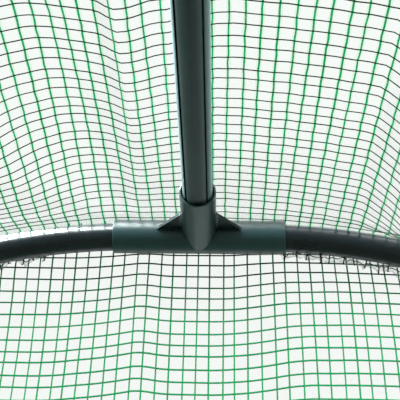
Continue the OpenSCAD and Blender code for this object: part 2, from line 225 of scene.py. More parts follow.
def ridge_folds(x, ahead):
    """Height of the folds beside the rear end of the ridge tube.

    All in mm: x across, ahead forward from the rear hoop.
    """

    def grown(length):
        return 1 - np.exp(-ahead / length)

    # left: a valley by the tube, a broad hump, then a drop to lower film
    valley = 17.7 * grown(315) * bell(x, -48.4 - 13.2 * np.exp(-ahead / 40), 10.9, 18.9)
    hump = 9.0 * grown(97) * bell(x, -76.0 - 0.132 * ahead, 39.7, 26.4)
    drop_place = np.clip((x + 109 + 0.278 * ahead) / 11.1, -30, 30)
    drop = 34.8 * grown(120) / (1 + np.exp(drop_place))
    # right: a gentle fall, steeper beyond a crease
    fall = (0.022 + 0.05 * grown(400)) * np.maximum(x - 31.5, 0)
    beyond = np.maximum(x - np.maximum(143.0 - 0.055 * ahead, 131.5), 0)
    crease = (0.62 * beyond + 0.012 * np.minimum(beyond, 30) ** 2) * grown(38)
    return np.where(x < 0, hump - valley - drop, -fall - crease)


def slack(across, along, seed):
    """Soft wrinkles of slack film, running along."""
    height = 0.0
    for i, (length, lean, size, phase) in enumerate(WAVES):
        place = across + lean * 0.25 * along + 0.02 * np.sin(5 * along + seed + i)
        turn = 2 * np.pi * place / length + phase + 1.7 * seed * (i + 1)
        height = height + size * (np.sin(turn) + 0.35 * np.sin(2 * turn + 0.8))
    return height


def hold_off_tube(lift, distance):
    """Keeps the film outside a tube that passes under it at this sideways distance."""
    gap = np.abs(distance)
    rise = np.sqrt(np.maximum(TUBE_CLEAR * TUBE_CLEAR - gap * gap, 0)) - FILM_OFFSET
    return np.maximum(lift, np.where(gap < TUBE_CLEAR, rise, -1.0))


def roof_lift(around, y):
    """How far the film of the roof and sides stands off its outline."""
    x, z, _, _ = cover_at(around)
    reach = np.abs(around)
    x_mm, ahead_mm = x * 1000, (HOOP_GAP - y) * 1000
    folds = ridge_folds(x_mm, np.maximum(ahead_mm, 0)) / 1000
    folded = smooth(ahead_mm, 430, 250) * smooth(np.abs(x_mm), 330, 195)
    folded = folded * smooth(ahead_mm, -4, 3)

    # slack between the hoops: wrinkles and a sag
    free = np.abs(np.sin(np.pi * y / HOOP_GAP)) ** 0.7
    wrinkles = slack(y, around, 1.0 + 0.9 * (y > 0) + 0.5 * (around > 0)) * free
    sag = -0.009 * free * smooth(reach, 0.03, 0.35) * smooth(reach, 1.75, 1.0)
    loose = wrinkles * smooth(reach, 0.012, 0.12) + sag
    loose = loose * (1 - 0.45 * smooth(z, 1.35, 1.20))
    # nearly flat round the windows and at the ground
    window = smooth(np.abs(np.abs(y) - BAY), 0.40, 0.30)
    window = window * smooth(z, WIN_BOTTOM - 0.12, WIN_BOTTOM - 0.04)
    window = window * smooth(z, WIN_TOP + 0.15, WIN_TOP + 0.06)
    loose = loose * (1 - 0.97 * window)
    loose = loose * smooth(z, 0.01, 0.12)

    lift = folded * folds + (1 - folded) * loose
    for hoop_y in (-HOOP_GAP, 0.0, HOOP_GAP):
        lift = hold_off_tube(lift, y - hoop_y)
    lift = hold_off_tube(lift, x)
    lift = np.where(np.abs(z - WAIST_Z) < 0.2, hold_off_tube(lift, z - WAIST_Z), lift)
    lift = np.where(z < 0.2, hold_off_tube(lift, z - BASE_Z), lift)
    return np.clip(lift, -0.05, 0.011)


def fold_length(around, y):
    """Extra film taken up by the folds, from the ridge out to each place, at one y."""
    stretch = np.sqrt(1 + np.gradient(roof_lift(around, y), around) ** 2) - 1
    extra = np.cumsum(stretch * np.gradient(around))
    return (extra - np.interp(0, around, extra)) * smooth(np.abs(around), 0.75, 0.30)


def roof_points(around, y):
    """Points of the roof and sides, and their outward normals."""
    x, z, out_x, out_z = cover_at(around)
    lift = roof_lift(around, y)
    upright = smooth(np.abs(around), 0.55, 0.33)  # near the ridge the film moves straight up
    move_x, move_z = out_x * (1 - upright), out_z * (1 - upright) + upright
    return points(x + move_x * lift, y, z + move_z * lift), points(out_x, 0.0, out_z)


def end_bulge(x, z, side):
    """How far an end wall bulges outwards. side is +1 for the rear wall."""
    top = top_of(x)
    below = np.maximum(top - FILM_OFFSET - 0.008 - z, 0)
    bulge = slack(x, z, 3.0 + side) * 0.9 * smooth(z, 0.02, 0.25)
    if side > 0:
        x_mm, z_mm = x * 1000, (z - RIDGE_Z) * 1000
        deep = np.clip((-20 - z_mm) / 54, 0, 1.6)
        upper = np.interp(x_mm, *BULGE_UPPER)
        lower = np.interp(x_mm, *BULGE_LOWER)
        ripple = (upper + (lower - upper) * deep) / 1000 * 0.55
        share = smooth(z_mm, -330, -130) * smooth(np.abs(x_mm), 380, 190)
        bulge = share * ripple + (1 - share) * bulge
    edge = np.minimum(width_at(z) - np.abs(x), below + 0.02)
    bulge = bulge * (1 - np.exp(-below / 0.02)) * smooth(edge, 0.008, 0.05)
    # it rests on the hoop and the base
    side_gap = np.abs(width_at(z) - FILM_OFFSET - np.abs(x))
    hoop_gap = np.minimum(side_gap, np.abs(top - FILM_OFFSET - z))
    resting = np.maximum(bulge, -0.0019)
    bulge = np.where(hoop_gap < 0.019, resting, bulge)
    bulge = np.where(z < 0.045, np.maximum(bulge, -0.0019), bulge)
    if side < 0:
        door = smooth(np.abs(x), 0.60, 0.53) * smooth(z, DOOR_TOP + 0.14, DOOR_TOP + 0.06)
        bulge = bulge * (1 - door)
    return bulge


def end_points(x, z, side):
    return points(x, side * (WALL_Y + end_bulge(x, z, side)), z)


# ---------------------------------------------------------------- materials
WHITE = (1, 1, 1, 1)


class Nodes:
    """Short calls for building a node tree."""

    def __init__(self, tree):
        self.tree = tree
        tree.nodes.clear()

    def node(self, kind, inputs=None, **props):
        made = self.tree.nodes.new("ShaderNode" + kind)
        for key, value in props.items():
            setattr(made, key, value)
        for key, value in (inputs or {}).items():
            if isinstance(value, bpy.types.NodeSocket):
                self.tree.links.new(value, made.inputs[key])
            else:
                made.inputs[key].default_value = value
        return made

    def socket(self, kind, inputs=None, out=0, **props):
        return self.node(kind, inputs, **props).outputs[out]

    def coords(self, scale=(1, 1, 1)):
        place = self.socket("TexCoord", out="Object")
        return self.socket("Mapping", {"Vector": place, "Scale": scale})

    def noise(self, scale, detail=4.0, rough=0.55, vector=None):
        vector = self.coords() if vector is None else vector
        inputs = {"Vector": vector, "Scale": scale, "Detail": detail, "Roughness": rough}
        return self.socket("TexNoise", inputs, "Fac")

    def ramp(self, factor, stops):
        made = self.node("ValToRGB", {"Fac": factor})
        elements = made.color_ramp.elements
        while len(elements) < len(stops):
            elements.new(0.5)
        for element, (position, colour) in zip(elements, stops):
            element.position = position
            element.color = (*colour, 1)
        return made.outputs["Color"]

    def maths(self, operation, a, b=0.0, clamp=False):
        inputs = {0: a, 1: b, 2: 0.0}
        return self.socket("Math", inputs, operation=operation, use_clamp=clamp)

    def add(self, a, b, clamp=False):
        return self.maths("ADD", a, b, clamp)

    def sub(self, a, b, clamp=False):
        return self.maths("SUBTRACT", a, b, clamp)

    def mul(self, a, b, clamp=False):
        return self.maths("MULTIPLY", a, b, clamp)

    def vary(self, value, noise, amount, clamp=False):
        """value, moved up and down by a noise."""
        return self.add(value, self.mul(self.sub(noise, 0.5), amount), clamp)

    def blend(self, first, share, second):
        """Two noises added, each with its share."""
        return self.add(self.mul(first, share[0]), self.mul(second, share[1]))

    def bump(self, height, strength, distance, normal=None):
        inputs = {"Height": height, "Strength": strength, "Distance": distance}
        if normal is not None:
            inputs["Normal"] = normal
        return self.socket("Bump", inputs)

    def bsdf(self, kind, colour, normal=None, rough=None):
        inputs = {"Color": colour}
        if rough is not None:
            inputs["Roughness"] = rough
        if normal is not None:
            inputs["Normal"] = normal
        return self.socket("Bsdf" + kind, inputs)

    def mix(self, factor, first, second):
        return self.socket("MixShader", {0: factor, 1: first, 2: second})

    def mix_colour(self, factor, first, second, blend="MIX"):
        inputs = {0: factor, 6: first, 7: second}
        return self.socket("Mix", inputs, 2, data_type="RGBA", blend_type=blend)

    def position(self):
        """Sockets of x, y, z in the world."""
        place = self.socket("NewGeometry", out="Position")
        return self.node("SeparateXYZ", {"Vector": place}).outputs


class Surface(Nodes):
    """The node tree of a new material."""

    def __init__(self, name):
        self.material = bpy.data.materials.new(name)
        self.material.use_nodes = True
        super().__init__(self.material.node_tree)

    def done(self, shader):
        self.node("OutputMaterial", {"Surface": shader})
        return self.material


def film_material(name, haze, gloss, crinkle, clear=(0.965, 0.985, 0.972)):
    """Clear film: see-through, hazy along fine creases, glossy at a slant."""
    m = Surface(name)
    big = m.noise(scale=9.0, detail=5.0, rough=0.6)
    fine = m.noise(scale=85.0, detail=6.0, rough=0.65)
    cells = {"Vector": m.coords(), "Scale": 38.0, "Randomness": 1.0}
    crease = m.socket("TexVoronoi", cells, "Distance", feature="DISTANCE_TO_EDGE")
    line = m.sub(1.0, m.mul(crease, 9.0, clamp=True), clamp=True)
    height = m.add(m.blend(big, (1.0, 0.25), fine), m.mul(line, 0.10))
    normal = m.bump(height, strength=crinkle, distance=0.004)
    clear_film = m.bsdf("Transparent", (*clear, 1))
    diffuse = m.bsdf("Diffuse", (0.86, 0.90, 0.87, 1), normal)
    through = m.bsdf("Translucent", (0.90, 0.93, 0.91, 1), normal)
    amount = m.vary(haze, fine, haze * 0.8, clamp=True)
    amount = m.add(amount, m.mul(line, haze * 0.35), clamp=True)
    body = m.mix(amount, clear_film, m.mix(0.6, diffuse, through))
    shine = m.bsdf("Glossy", WHITE, normal, rough=0.16)
    slant = m.socket("LayerWeight", {"Blend": 0.18, "Normal": normal}, "Fresnel")
    return m.done(m.mix(m.mul(slant, gloss, clamp=True), body, shine))


def glow_halo_material(name):
    """A faint green see-through strip over a thread: a painted glow round it."""
    m = Surface(name)
    stops = [(0.3, (0.86, 0.995, 0.90)), (0.7, (0.94, 1.0, 0.955))]
    clear = m.bsdf("Transparent", m.ramp(m.noise(scale=90.0, detail=3.0), stops))
    return m.done(m.mix(0.01, clear, m.bsdf("Glossy", WHITE, rough=0.3)))


def rolled_film(name):
    """Many layers of film together: milky, a little green from the threads, glossy."""
    m = Surface(name)
    fine = m.noise(scale=70.0, detail=6.0, rough=0.65)
    tone = m.blend(fine, (0.6, 0.4), m.noise(scale=18.0, detail=4.0))
    colour = m.ramp(tone, [(0.32, (0.30, 0.46, 0.36)), (0.68, (0.66, 0.76, 0.69))])
    normal = m.bump(fine, strength=0.5, distance=0.003)
    diffuse = m.bsdf("Diffuse", colour, normal)
    through = m.bsdf("Translucent", colour, normal)
    shine = m.bsdf("Glossy", WHITE, normal, rough=0.2)
    slant = m.socket("Fresnel", {"IOR": 1.45, "Normal": normal})
    return m.done(m.mix(slant, m.mix(0.35, diffuse, through), shine))


def thread_material(name, dark, light, through=0.2, lower=None):
    """Plastic thread; lower is its colour further down the wall from the ridge; the darker colour near
    the ridge is painted shade.
    """
    m = Surface(name)
    fine = m.noise(scale=140.0, detail=4.0, rough=0.6)
    slow = m.noise(scale=11.0, detail=2.0, rough=0.5)
    colour = m.ramp(m.blend(fine, (0.6, 0.4), slow), [(0.35, dark), (0.65, light)])
    # painted shade: darker near the ridge, blending to lower further down the wall
    if lower:
        depth = m.sub(RIDGE_Z - 0.030, m.position()["Z"])
        share = m.maths("DIVIDE", depth, 0.045, clamp=True)
        colour = m.mix_colour(share, colour, (*lower, 1))
    grain = m.noise(scale=900.0, detail=2.0, rough=0.5)
    normal = m.bump(grain, strength=0.25, distance=0.0003)
    diffuse = m.bsdf("Diffuse", colour, normal)
    translucent = m.bsdf("Translucent", colour, normal)
    shine = m.bsdf("Glossy", colour, normal, rough=0.55)
    return m.done(m.mix(0.06, m.mix(through, diffuse, translucent), shine))


def paint_shade_on_webs(m, base, spec, corners):
    """Painted shade where webs meet sockets, from ambient occlusion, and painted shade on the flat
    webs at ridge height, which also shine less.
    """
    # painted shade: ambient occlusion darkens the corners where webs meet sockets
    near = m.socket("AmbientOcclusion", {"Distance": 0.045}, "AO", samples=8)
    shade = m.ramp(near, [(0.45, (1 - corners,) * 3), (0.86, (1, 1, 1))])
    x, y, z = m.position()
    flat = m.maths("LESS_THAN", m.maths("ABSOLUTE", m.sub(z, RIDGE_Z)), 0.0052)
    from_middle = m.maths("ABSOLUTE", y)
    from_end = m.maths("ABSOLUTE", m.sub(from_middle, HOOP_GAP))
    off_hoop = m.maths("GREATER_THAN", m.maths("MINIMUM", from_middle, from_end), 0.0172)
    off_ridge = m.maths("GREATER_THAN", m.maths("ABSOLUTE", x), 0.0172)
    # painted shade: the flat webs at ridge height are darkened, and shine less
    shaded_web = m.mul(flat, m.mul(off_hoop, off_ridge))
    base = m.mix_colour(1.0, base, shade, "MULTIPLY")
    base = m.mix_colour(m.mul(shaded_web, 0.55), base, (0, 0, 0, 1), "MULTIPLY")
    return base, m.sub(spec, m.mul(shaded_web, spec * 0.7))


def moulded(name, dark, light, rough=0.46, spec=0.42, corners=0.0):
    """Moulded polymer: satin grain, faint flow marks, edges rubbed paler."""
    m = Surface(name)
    slow = m.noise(scale=22.0, detail=4.0, rough=0.6)
    colour = m.ramp(slow, [(0.30, dark), (0.72, light)])
    wear = m.socket("NewGeometry", out="Pointiness")
    edge = m.mul(m.sub(wear, 0.515, clamp=True), 5.0, clamp=True)
    pale = tuple(channel * 3 + 0.01 for channel in light)
    base = m.mix_colour(edge, colour, (*pale, 1))
    # corners sets how much painted shade goes into corners and onto webs
    if corners:
        base, spec = paint_shade_on_webs(m, base, spec, corners)
    flow = m.noise(scale=60.0, detail=3.0, rough=0.5)
    normal = m.bump(flow, strength=0.05, distance=0.0008)
    grain = m.noise(scale=1500.0, detail=3.0, rough=0.6)
    normal = m.bump(grain, strength=0.10, distance=0.0002, normal=normal)
    patches = m.noise(scale=30.0, detail=4.0, rough=0.6)
    return m.done(m.socket("BsdfPrincipled", {
        "Base Color": base,
        "Roughness": m.vary(rough, patches, 0.16),
        "Normal": normal,
        "Specular IOR Level": spec,
    }))


# painted reflections across a tube, from one seen edge (0) to the other (1):
# painted bright rims at both edges, and a painted dark line just inside each
PAINTED_REFLECTION_STOPS = [
    (0.0, (16, 17, 17)), (0.050, (12, 13, 13)), (0.074, (0.02, 0.02, 0.02)),
    (0.116, (0.02, 0.02, 0.02)), (0.136, (10, 9.6, 9.2)), (0.20, (6.0, 5.9, 5.8)),
    (0.28, (3.9, 3.9, 3.9)), (0.44, (1.7, 1.8, 1.8)), (0.60, (1.7, 1.8, 1.8)),
    (0.68, (2.9, 2.9, 2.9)), (0.74, (5.0, 4.9, 4.8)), (0.778, (4.6, 4.6, 4.6)),
    (0.790, (0.1, 0.1, 0.1)), (0.828, (0.1, 0.1, 0.1)), (0.85, (6.5, 6.8, 6.6)),
    (0.93, (12, 12.6, 12.2)), (0.98, (19, 20, 19)), (1.0, (21, 22, 21)),
]
# where that tube shines (1) and where it doesn't (0), which is on the painted dark lines
PAINTED_LINE_SHINE_STOPS = [
    (0.0, 1), (0.066, 1), (0.074, 0), (0.118, 0), (0.130, 1),
    (0.778, 1), (0.790, 0), (0.828, 0), (0.838, 1),
]


def paint_tube_reflections(m, base, spec):
    """Colour and shine of a tube along Y, with reflections and shade painted by the angle it is seen
    at.
    """
    geometry = m.node("NewGeometry").outputs
    view = {0: geometry["Incoming"], 1: (1, 0, 1)}
    flat_view = m.socket("VectorMath", view, operation="MULTIPLY")
    across = m.socket("VectorMath", {0: flat_view, 1: (0, 1, 0)}, operation="CROSS_PRODUCT")
    across = m.socket("VectorMath", {0: across}, operation="NORMALIZE")
    facing = {0: across, 1: geometry["Normal"]}
    dot = m.socket("VectorMath", facing, "Value", operation="DOT_PRODUCT")
    face = m.add(m.mul(dot, 0.5), 0.5)
    base = m.mix_colour(1.0, base, m.ramp(face, PAINTED_REFLECTION_STOPS), "MULTIPLY")
    shine = m.ramp(face, [(place, (spec if on else 0,) * 3) for place, on in PAINTED_LINE_SHINE_STOPS])
    return base, m.socket("RGBToBW", {"Color": shine})


def coated(name, dark, light, rough, spec, coat, painted_reflections=False):
    """Powder-coated steel tube: slight orange peel and scuffs."""
    m = Surface(name)
    slow = m.noise(scale=7.0, detail=5.0, rough=0.6)
    colour = m.ramp(slow, [(0.35, dark), (0.70, light)])
    peel = m.noise(scale=520.0, detail=2.0, rough=0.5)
    scratches = m.noise(scale=75.0, detail=8.0, rough=0.75, vector=m.coords((1, 1, 0.35)))
    scuff = m.mul(m.sub(scratches, 0.60, clamp=True), 3.0, clamp=True)
    base = m.mix_colour(m.mul(scuff, 0.25), colour, (0.06, 0.07, 0.08, 1))
    uneven = m.add(m.mul(scuff, 0.22), m.mul(m.sub(slow, 0.5), 0.12))
    # painted reflections and shade across the tube, by the angle it is seen at
    if painted_reflections:
        base, spec = paint_tube_reflections(m, base, spec)
    return m.done(m.socket("BsdfPrincipled", {
        "Base Color": base,
        "Roughness": m.add(rough, uneven, clamp=True),
        "Normal": m.bump(peel, strength=0.06, distance=0.0003),
        "Specular IOR Level": spec,
        "Coat Weight": coat,
        "Coat Roughness": 0.12,
    }))


def woven(name, dark, light, pitch=900.0, rough=0.75):
    """Woven cloth: two crossed waves."""
    m = Surface(name)
    vector = m.coords()

    def wave(scale, distortion, direction):
        inputs = {"Vector": vector, "Scale": scale, "Distortion": distortion, "Detail": 1.0}
        return m.socket("TexWave", inputs, "Fac", bands_direction=direction)

    weave = m.mul(wave(pitch / 6.28, 0.6, "Z"), wave(pitch / 9.0, 0.5, "DIAGONAL"))
    tone = m.blend(weave, (0.6, 0.4), m.noise(scale=40.0))
    return m.done(m.socket("BsdfPrincipled", {
        "Base Color": m.ramp(tone, [(0.25, dark), (0.75, light)]),
        "Roughness": rough,
        "Normal": m.bump(weave, strength=0.5, distance=0.0005),
        "Sheen Weight": 0.25,
    }))


def metal(name, dark, light, rough, streak=(1, 1, 1)):
    m = Surface(name)
    vector = m.coords(streak)
    tone = m.noise(scale=60.0, detail=6.0, rough=0.6, vector=vector)
    grain = m.noise(scale=420.0, detail=3.0, rough=0.5, vector=vector)
    patches = m.noise(scale=90.0, detail=4.0, rough=0.6)
    return m.done(m.socket("BsdfPrincipled", {
        "Base Color": m.ramp(tone, [(0.3, dark), (0.7, light)]),
        "Metallic": 1.0,
        "Roughness": m.vary(rough, patches, 0.3, clamp=True),
        "Normal": m.bump(grain, strength=0.12, distance=0.0003),
    }))


M_FILM = film_material("cover_film_clear", haze=0.045, gloss=0.12, crinkle=0.2)
M_GLOW_HALO = glow_halo_material("thread_glow_halo")
M_FRINGE = film_material(
    "seam_allowance", haze=0.10, gloss=0.30, crinkle=0.9, clear=(0.975, 0.985, 0.98)
)
M_ROLL = rolled_film("rolled_film")
M_CUT_ENDS = thread_material(
    "thread_cut_ends", dark=(0.020, 0.045, 0.028), light=(0.045, 0.090, 0.060)
)
M_NET = thread_material(
    "insect_net", dark=(0.42, 0.50, 0.45), light=(0.62, 0.70, 0.65), through=0.4
)
# painted light: the threads along the ridge are coloured bright green as if lit through by the sky
M_ALONG_LIT = thread_material(
    "thread_along_ridge", dark=(0.090, 0.86, 0.43), light=(0.150, 1.00, 0.60), through=0.35
)
# painted shade: the threads across are the same tape, coloured dark
M_ACROSS_SHADED = thread_material(
    "thread_across", dark=(0.050, 0.115, 0.072), light=(0.090, 0.175, 0.112), through=0.3
)
# painted shade on the wall threads: darker near the ridge than lower down
M_UPRIGHT = thread_material(
    "thread_wall_upright", dark=(0.055, 0.440, 0.180), light=(0.110, 0.600, 0.290),
    through=0.36, lower=(0.14, 0.92, 0.44),
)
M_LEVEL = thread_material(
    "thread_wall_level", dark=(0.014, 0.080, 0.036), light=(0.028, 0.130, 0.062),
    lower=(0.060, 0.80, 0.34),
)
# the connectors get painted shade in their corners and on their webs
M_PLASTIC = moulded(
    "connector_moulding", dark=(0.0120, 0.0380, 0.0420), light=(0.0200, 0.0510, 0.0560),
    rough=0.35, spec=0.5, corners=0.8,
)
M_TUBE = coated(
    "hoop_tube_coat", dark=(0.0020, 0.0050, 0.0085), light=(0.0050, 0.0092, 0.0140),
    rough=0.29, spec=0.34, coat=0.25,
)
# the ridge tube gets painted reflections
M_RIDGE = coated(
    "ridge_tube_coat", dark=(0.0135, 0.0190, 0.0215), light=(0.0215, 0.0285, 0.0320),
    rough=0.38, spec=0.22, coat=0.0, painted_reflections=True,
)
M_WEB = woven("green_webbing", dark=(0.010, 0.080, 0.030), light=(0.030, 0.190, 0.075))
M_TAPE = woven(
    "zip_tape", dark=(0.006, 0.007, 0.007), light=(0.018, 0.020, 0.020), pitch=1400.0
)
M_ZINC = metal("black_zinc", dark=(0.03, 0.032, 0.035), light=(0.10, 0.105, 0.11), rough=0.38)
M_PEG = metal(
    "peg_wire", dark=(0.42, 0.43, 0.45), light=(0.66, 0.67, 0.70), rough=0.30,
    streak=(1, 1, 0.1),
)
M_EDGE = film_material(
    "edge_binding_clear", haze=0.08, gloss=0.2, crinkle=0.3, clear=(0.95, 0.97, 0.96)
)
M_STITCH = thread_material(
    "stitch_thread", dark=(0.55, 0.62, 0.57), light=(0.75, 0.80, 0.76)
)
M_TEETH = moulded(
    "zip_teeth", dark=(0.008, 0.009, 0.009), light=(0.016, 0.017, 0.017), rough=0.35, spec=0.5
)
M_TOGGLE = moulded(
    "toggle_moulding", dark=(0.010, 0.055, 0.024), light=(0.016, 0.085, 0.038),
    rough=0.38, spec=0.5,
)
M_HOOK = woven(
    "hook_and_loop", dark=(0.010, 0.012, 0.012), light=(0.030, 0.034, 0.033),
    pitch=1800.0, rough=0.9,
)
M_BIND = woven(
    "green_binding", dark=(0.015, 0.130, 0.050), light=(0.040, 0.260, 0.105), pitch=1100.0
)


# ---------------------------------------------------------------- finish of the CAD parts
CONNECTORS = ("_tee", "_cross", "_corner")
HOOP_TUBES = ("_rafter", "_leg")
LONG_TUBES = ("_tube", "_rail")


def finish(part, material, bevel=None):
    part.data.materials.clear()
    part.data.materials.append(material)
    if bevel:
        edge = part.modifiers.new("edge", "BEVEL")
        edge.width = bevel
        edge.segments = 3
        edge.limit_method = "ANGLE"
        edge.angle_limit = math.radians(40)
        edge.harden_normals = False


for name, part in CAD.items():
    if name.endswith(CONNECTORS):
        finish(part, M_PLASTIC, bevel=0.0004)
    elif name.endswith(HOOP_TUBES):
        finish(part, M_TUBE)
    elif name.endswith(LONG_TUBES):
        finish(part, M_RIDGE if "ridge" in name else M_TUBE)
    elif "zip_slider" in name or "zip_pull" in name:
        finish(part, M_ZINC, bevel=0.0003)
    elif name == "ground_pegs":
        finish(part, M_PEG)


# ---------------------------------------------------------------- mesh makers
# a shape is (vertices, quads, triangles); replaces names the CAD nodes a piece stands for
PIECE_LIMIT = 190000  # triangles in one piece of threads


def make(name, verts, quads, tris, material, replaces,
         body="frame", slot=None, smooth_faces=True):
    mesh = bpy.data.meshes.new(name)
    verts = np.ascontiguousarray(verts, np.float32).reshape(-1, 3)
    quads = np.asarray(quads, np.int32).reshape(-1, 4)
    tris = np.asarray(tris, np.int32).reshape(-1, 3)
    mesh.vertices.add(len(verts))
    mesh.vertices.foreach_set("co", verts.ravel())
    corners = np.concatenate([quads.ravel(), tris.ravel()]).astype(np.int32)
    mesh.loops.add(len(corners))
    mesh.loops.foreach_set("vertex_index", corners)
    faces = len(quads) + len(tris)
    mesh.polygons.add(faces)
    starts = [np.arange(len(quads)) * 4, len(quads) * 4 + np.arange(len(tris)) * 3]
    mesh.polygons.foreach_set("loop_start", np.concatenate(starts).astype(np.int32))
    mesh.update(calc_edges=True)
    mesh.polygons.foreach_set("use_smooth", np.full(faces, smooth_faces))
    mesh.update()
    made = bpy.data.objects.new(name, mesh)
    scene.collection.objects.link(made)
    mesh.materials.append(material)
    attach(made, body)
    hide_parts(*replaces)
    return made


def join(shapes):
    verts, quads, tris, offset = [], [], [], 0
    for shape_verts, shape_quads, shape_tris in shapes:
        verts.append(np.asarray(shape_verts, float).reshape(-1, 3))
        quads.append(np.asarray(shape_quads, int).reshape(-1, 4) + offset)
        tris.append(np.asarray(shape_tris, int).reshape(-1, 3) + offset)
        offset += len(verts[-1])
    return np.concatenate(verts), np.concatenate(quads), np.concatenate(tris)


def sheet(name, grid, normal, material, replaces, thick=FILM_THICK, keep=None, body="frame"):
    """A thin closed sheet from a grid of points. keep marks the cells to make."""
    rows, cols = grid.shape[:2]
    half = np.broadcast_to(normal, grid.shape) * thick / 2
    verts = np.concatenate([(grid + half).reshape(-1, 3), (grid - half).reshape(-1, 3)])
    count = rows * cols
    index = np.arange(count).reshape(rows, cols)
    if keep is None:
        keep = np.ones((rows - 1, cols - 1), bool)
    c00, c10, c11, c01 = (
        part[keep] for part in (index[:-1, :-1], index[1:, :-1], index[1:, 1:], index[:-1, 1:])
    )
    quads = [np.stack([c00, c10, c11, c01], 1), np.stack([c00, c01, c11, c10], 1) + count]
    padded = np.pad(keep, 1)
    # a rim where a kept cell has no kept neighbour: neighbour, then the two edge corners
    for neighbour, start, end in (
        (padded[:-2, 1:-1], index[:-1, 1:], index[:-1, :-1]),
        (padded[2:, 1:-1], index[1:, :-1], index[1:, 1:]),
        (padded[1:-1, :-2], index[:-1, :-1], index[1:, :-1]),
        (padded[1:-1, 2:], index[1:, 1:], index[:-1, 1:]),
    ):
        rim = keep & ~neighbour
        first, last = start[rim], end[rim]
        quads.append(np.stack([last, first, first + count, last + count], 1))
    quads = np.concatenate(quads)
    used = np.zeros(2 * count, bool)
    used[quads.ravel()] = True
    renumber = np.cumsum(used) - 1
    return make(name, verts[used], renumber[quads], (), material, replaces, body)


def strands(path, sideways, normal, width, thick):
    """Flat threads as closed three-sided prisms along path, which is (threads, places, 3)."""
    count, places = path.shape[:2]
    half = np.broadcast_to(np.asarray(width, float).reshape(-1, 1, 1), (count, 1, 1)) / 2
    low, high = path - normal * thick * 0.4, path + normal * thick * 0.6
    verts = np.stack([low - sideways * half, low + sideways * half, high], 2)
    index = np.arange(count * places * 3).reshape(count, places, 3)
    following = np.roll(index, -1, 2)
    quads = [
        np.stack([
            index[:, :-1, j], following[:, :-1, j], following[:, 1:, j], index[:, 1:, j]
        ], -1).reshape(-1, 4)
        for j in range(3)
    ]
    caps = np.concatenate([index[:, 0, ::-1].reshape(-1, 3), index[:, -1].reshape(-1, 3)])
    return verts.reshape(-1, 3), np.concatenate(quads), caps


def lay_threads(path, normal, width, thick, lift=0.0):
    """Threads along path that lie flat on a surface with this normal."""
    sideways = unit(np.cross(normal, unit(np.gradient(path, axis=1))))
    return strands(path + normal * lift, sideways, normal, width, thick)


def thread_normal(path, sideways, outward):
    """Normals square to the threads themselves, on the outward side."""
    normal = unit(np.cross(unit(np.gradient(path, axis=1)), sideways))
    return normal * np.sign((normal * outward).sum(-1, keepdims=True))


def thread_pieces(name, shapes, material, replaces, body="frame"):
    """Numbered pieces, each under PIECE_LIMIT triangles."""
    batches, count = [[]], 0
    for shape in shapes:
        size = len(shape[1]) * 2 + len(shape[2])
        if batches[-1] and count + size > PIECE_LIMIT:
            batches.append([])
            count = 0
        batches[-1].append(shape)
        count += size
    return [
        make(f"{name}_{serial}", *join(batch), material, replaces, body)
        for serial, batch in enumerate(batches, 1)
    ]


def round_bar(path, radius, segments, closed=False):
    """Round bar along path; radius may vary along it."""
    path = np.asarray(path, float)
    places = len(path)
    if closed:
        tangents = unit(np.roll(path, -1, 0) - np.roll(path, 1, 0))
    else:
        tangents = unit(np.gradient(path, axis=0))
    reference = Z_AXIS if abs(tangents[0][2]) < 0.9 else X_AXIS
    across = unit(np.cross(tangents[0], reference))
    angles = np.linspace(0, 2 * np.pi, segments, endpoint=False)
    rings = []
    for centre, tangent, size in zip(path, tangents, np.broadcast_to(radius, (places,))):
        across = unit(across - tangent * np.dot(across, tangent))
        upward = np.cross(tangent, across)
        rim = np.outer(np.cos(angles), across) + np.outer(np.sin(angles), upward)
        rings.append(centre + size * rim)
    verts = np.array(rings).reshape(-1, 3)
    index = np.arange(places * segments).reshape(places, segments)
    following = np.roll(index, -1, 1)
    quads = np.concatenate([
        np.stack([
            index[i], following[i], following[(i + 1) % places], index[(i + 1) % places]
        ], 1)
        for i in range(places if closed else places - 1)
    ])
    if closed:
        return verts, quads, ()
    start = np.full(segments, places * segments)
    caps = [
        np.stack([following[0], index[0], start], 1),
        np.stack([index[-1], following[-1], start + 1], 1),
    ]
    return np.concatenate([verts, path[:1], path[-1:]]), quads, np.concatenate(caps)


def ribbon(name, path, sideways, normal, width, material, replaces, thick=0.0006, cols=2):
    """A flat strip of cloth along path."""
    offsets = np.linspace(-0.5, 0.5, cols + 1)[:, None] * width
    grid = path[:, None] + sideways * offsets
    normal = np.broadcast_to(normal, path.shape)[:, None]
    return sheet(name, grid, normal, material, replaces, thick)


def resample(path, pitch, values=None):
    """The path, or values given along it, at even steps of about pitch."""
    values = path if values is None else values
    reach = np.r_[0, np.cumsum(np.linalg.norm(np.diff(path, axis=0), axis=1))]
    count = max(2, int(reach[-1] / pitch))
    places = (np.arange(count) + 0.25) * reach[-1] / count
    return np.stack([np.interp(places, reach, values[:, i]) for i in range(3)], 1)


def stitches(path, normal, pitch=0.006, length=0.0036, size=0.0007, lift=0.0004):
    """A row of sewn stitches, each a short thread raised in the middle."""
    spots = resample(path, pitch)
    tangent = unit(np.gradient(spots, axis=0))
    normal = np.broadcast_to(np.asarray(normal, float), spots.shape)
    sideways = unit(np.cross(normal, tangent))
    reach = tangent * length * 0.5
    bows = np.stack([spots - reach, spots + normal * 0.0003, spots + reach], 1)
    normal = normal[:, None]
    return strands(bows + normal * lift, sideways[:, None], normal, size, size)


# ---------------------------------------------------------------- film of the roof and walls
ROOF = ("roof_cover",)
rng = np.random.default_rng(11)


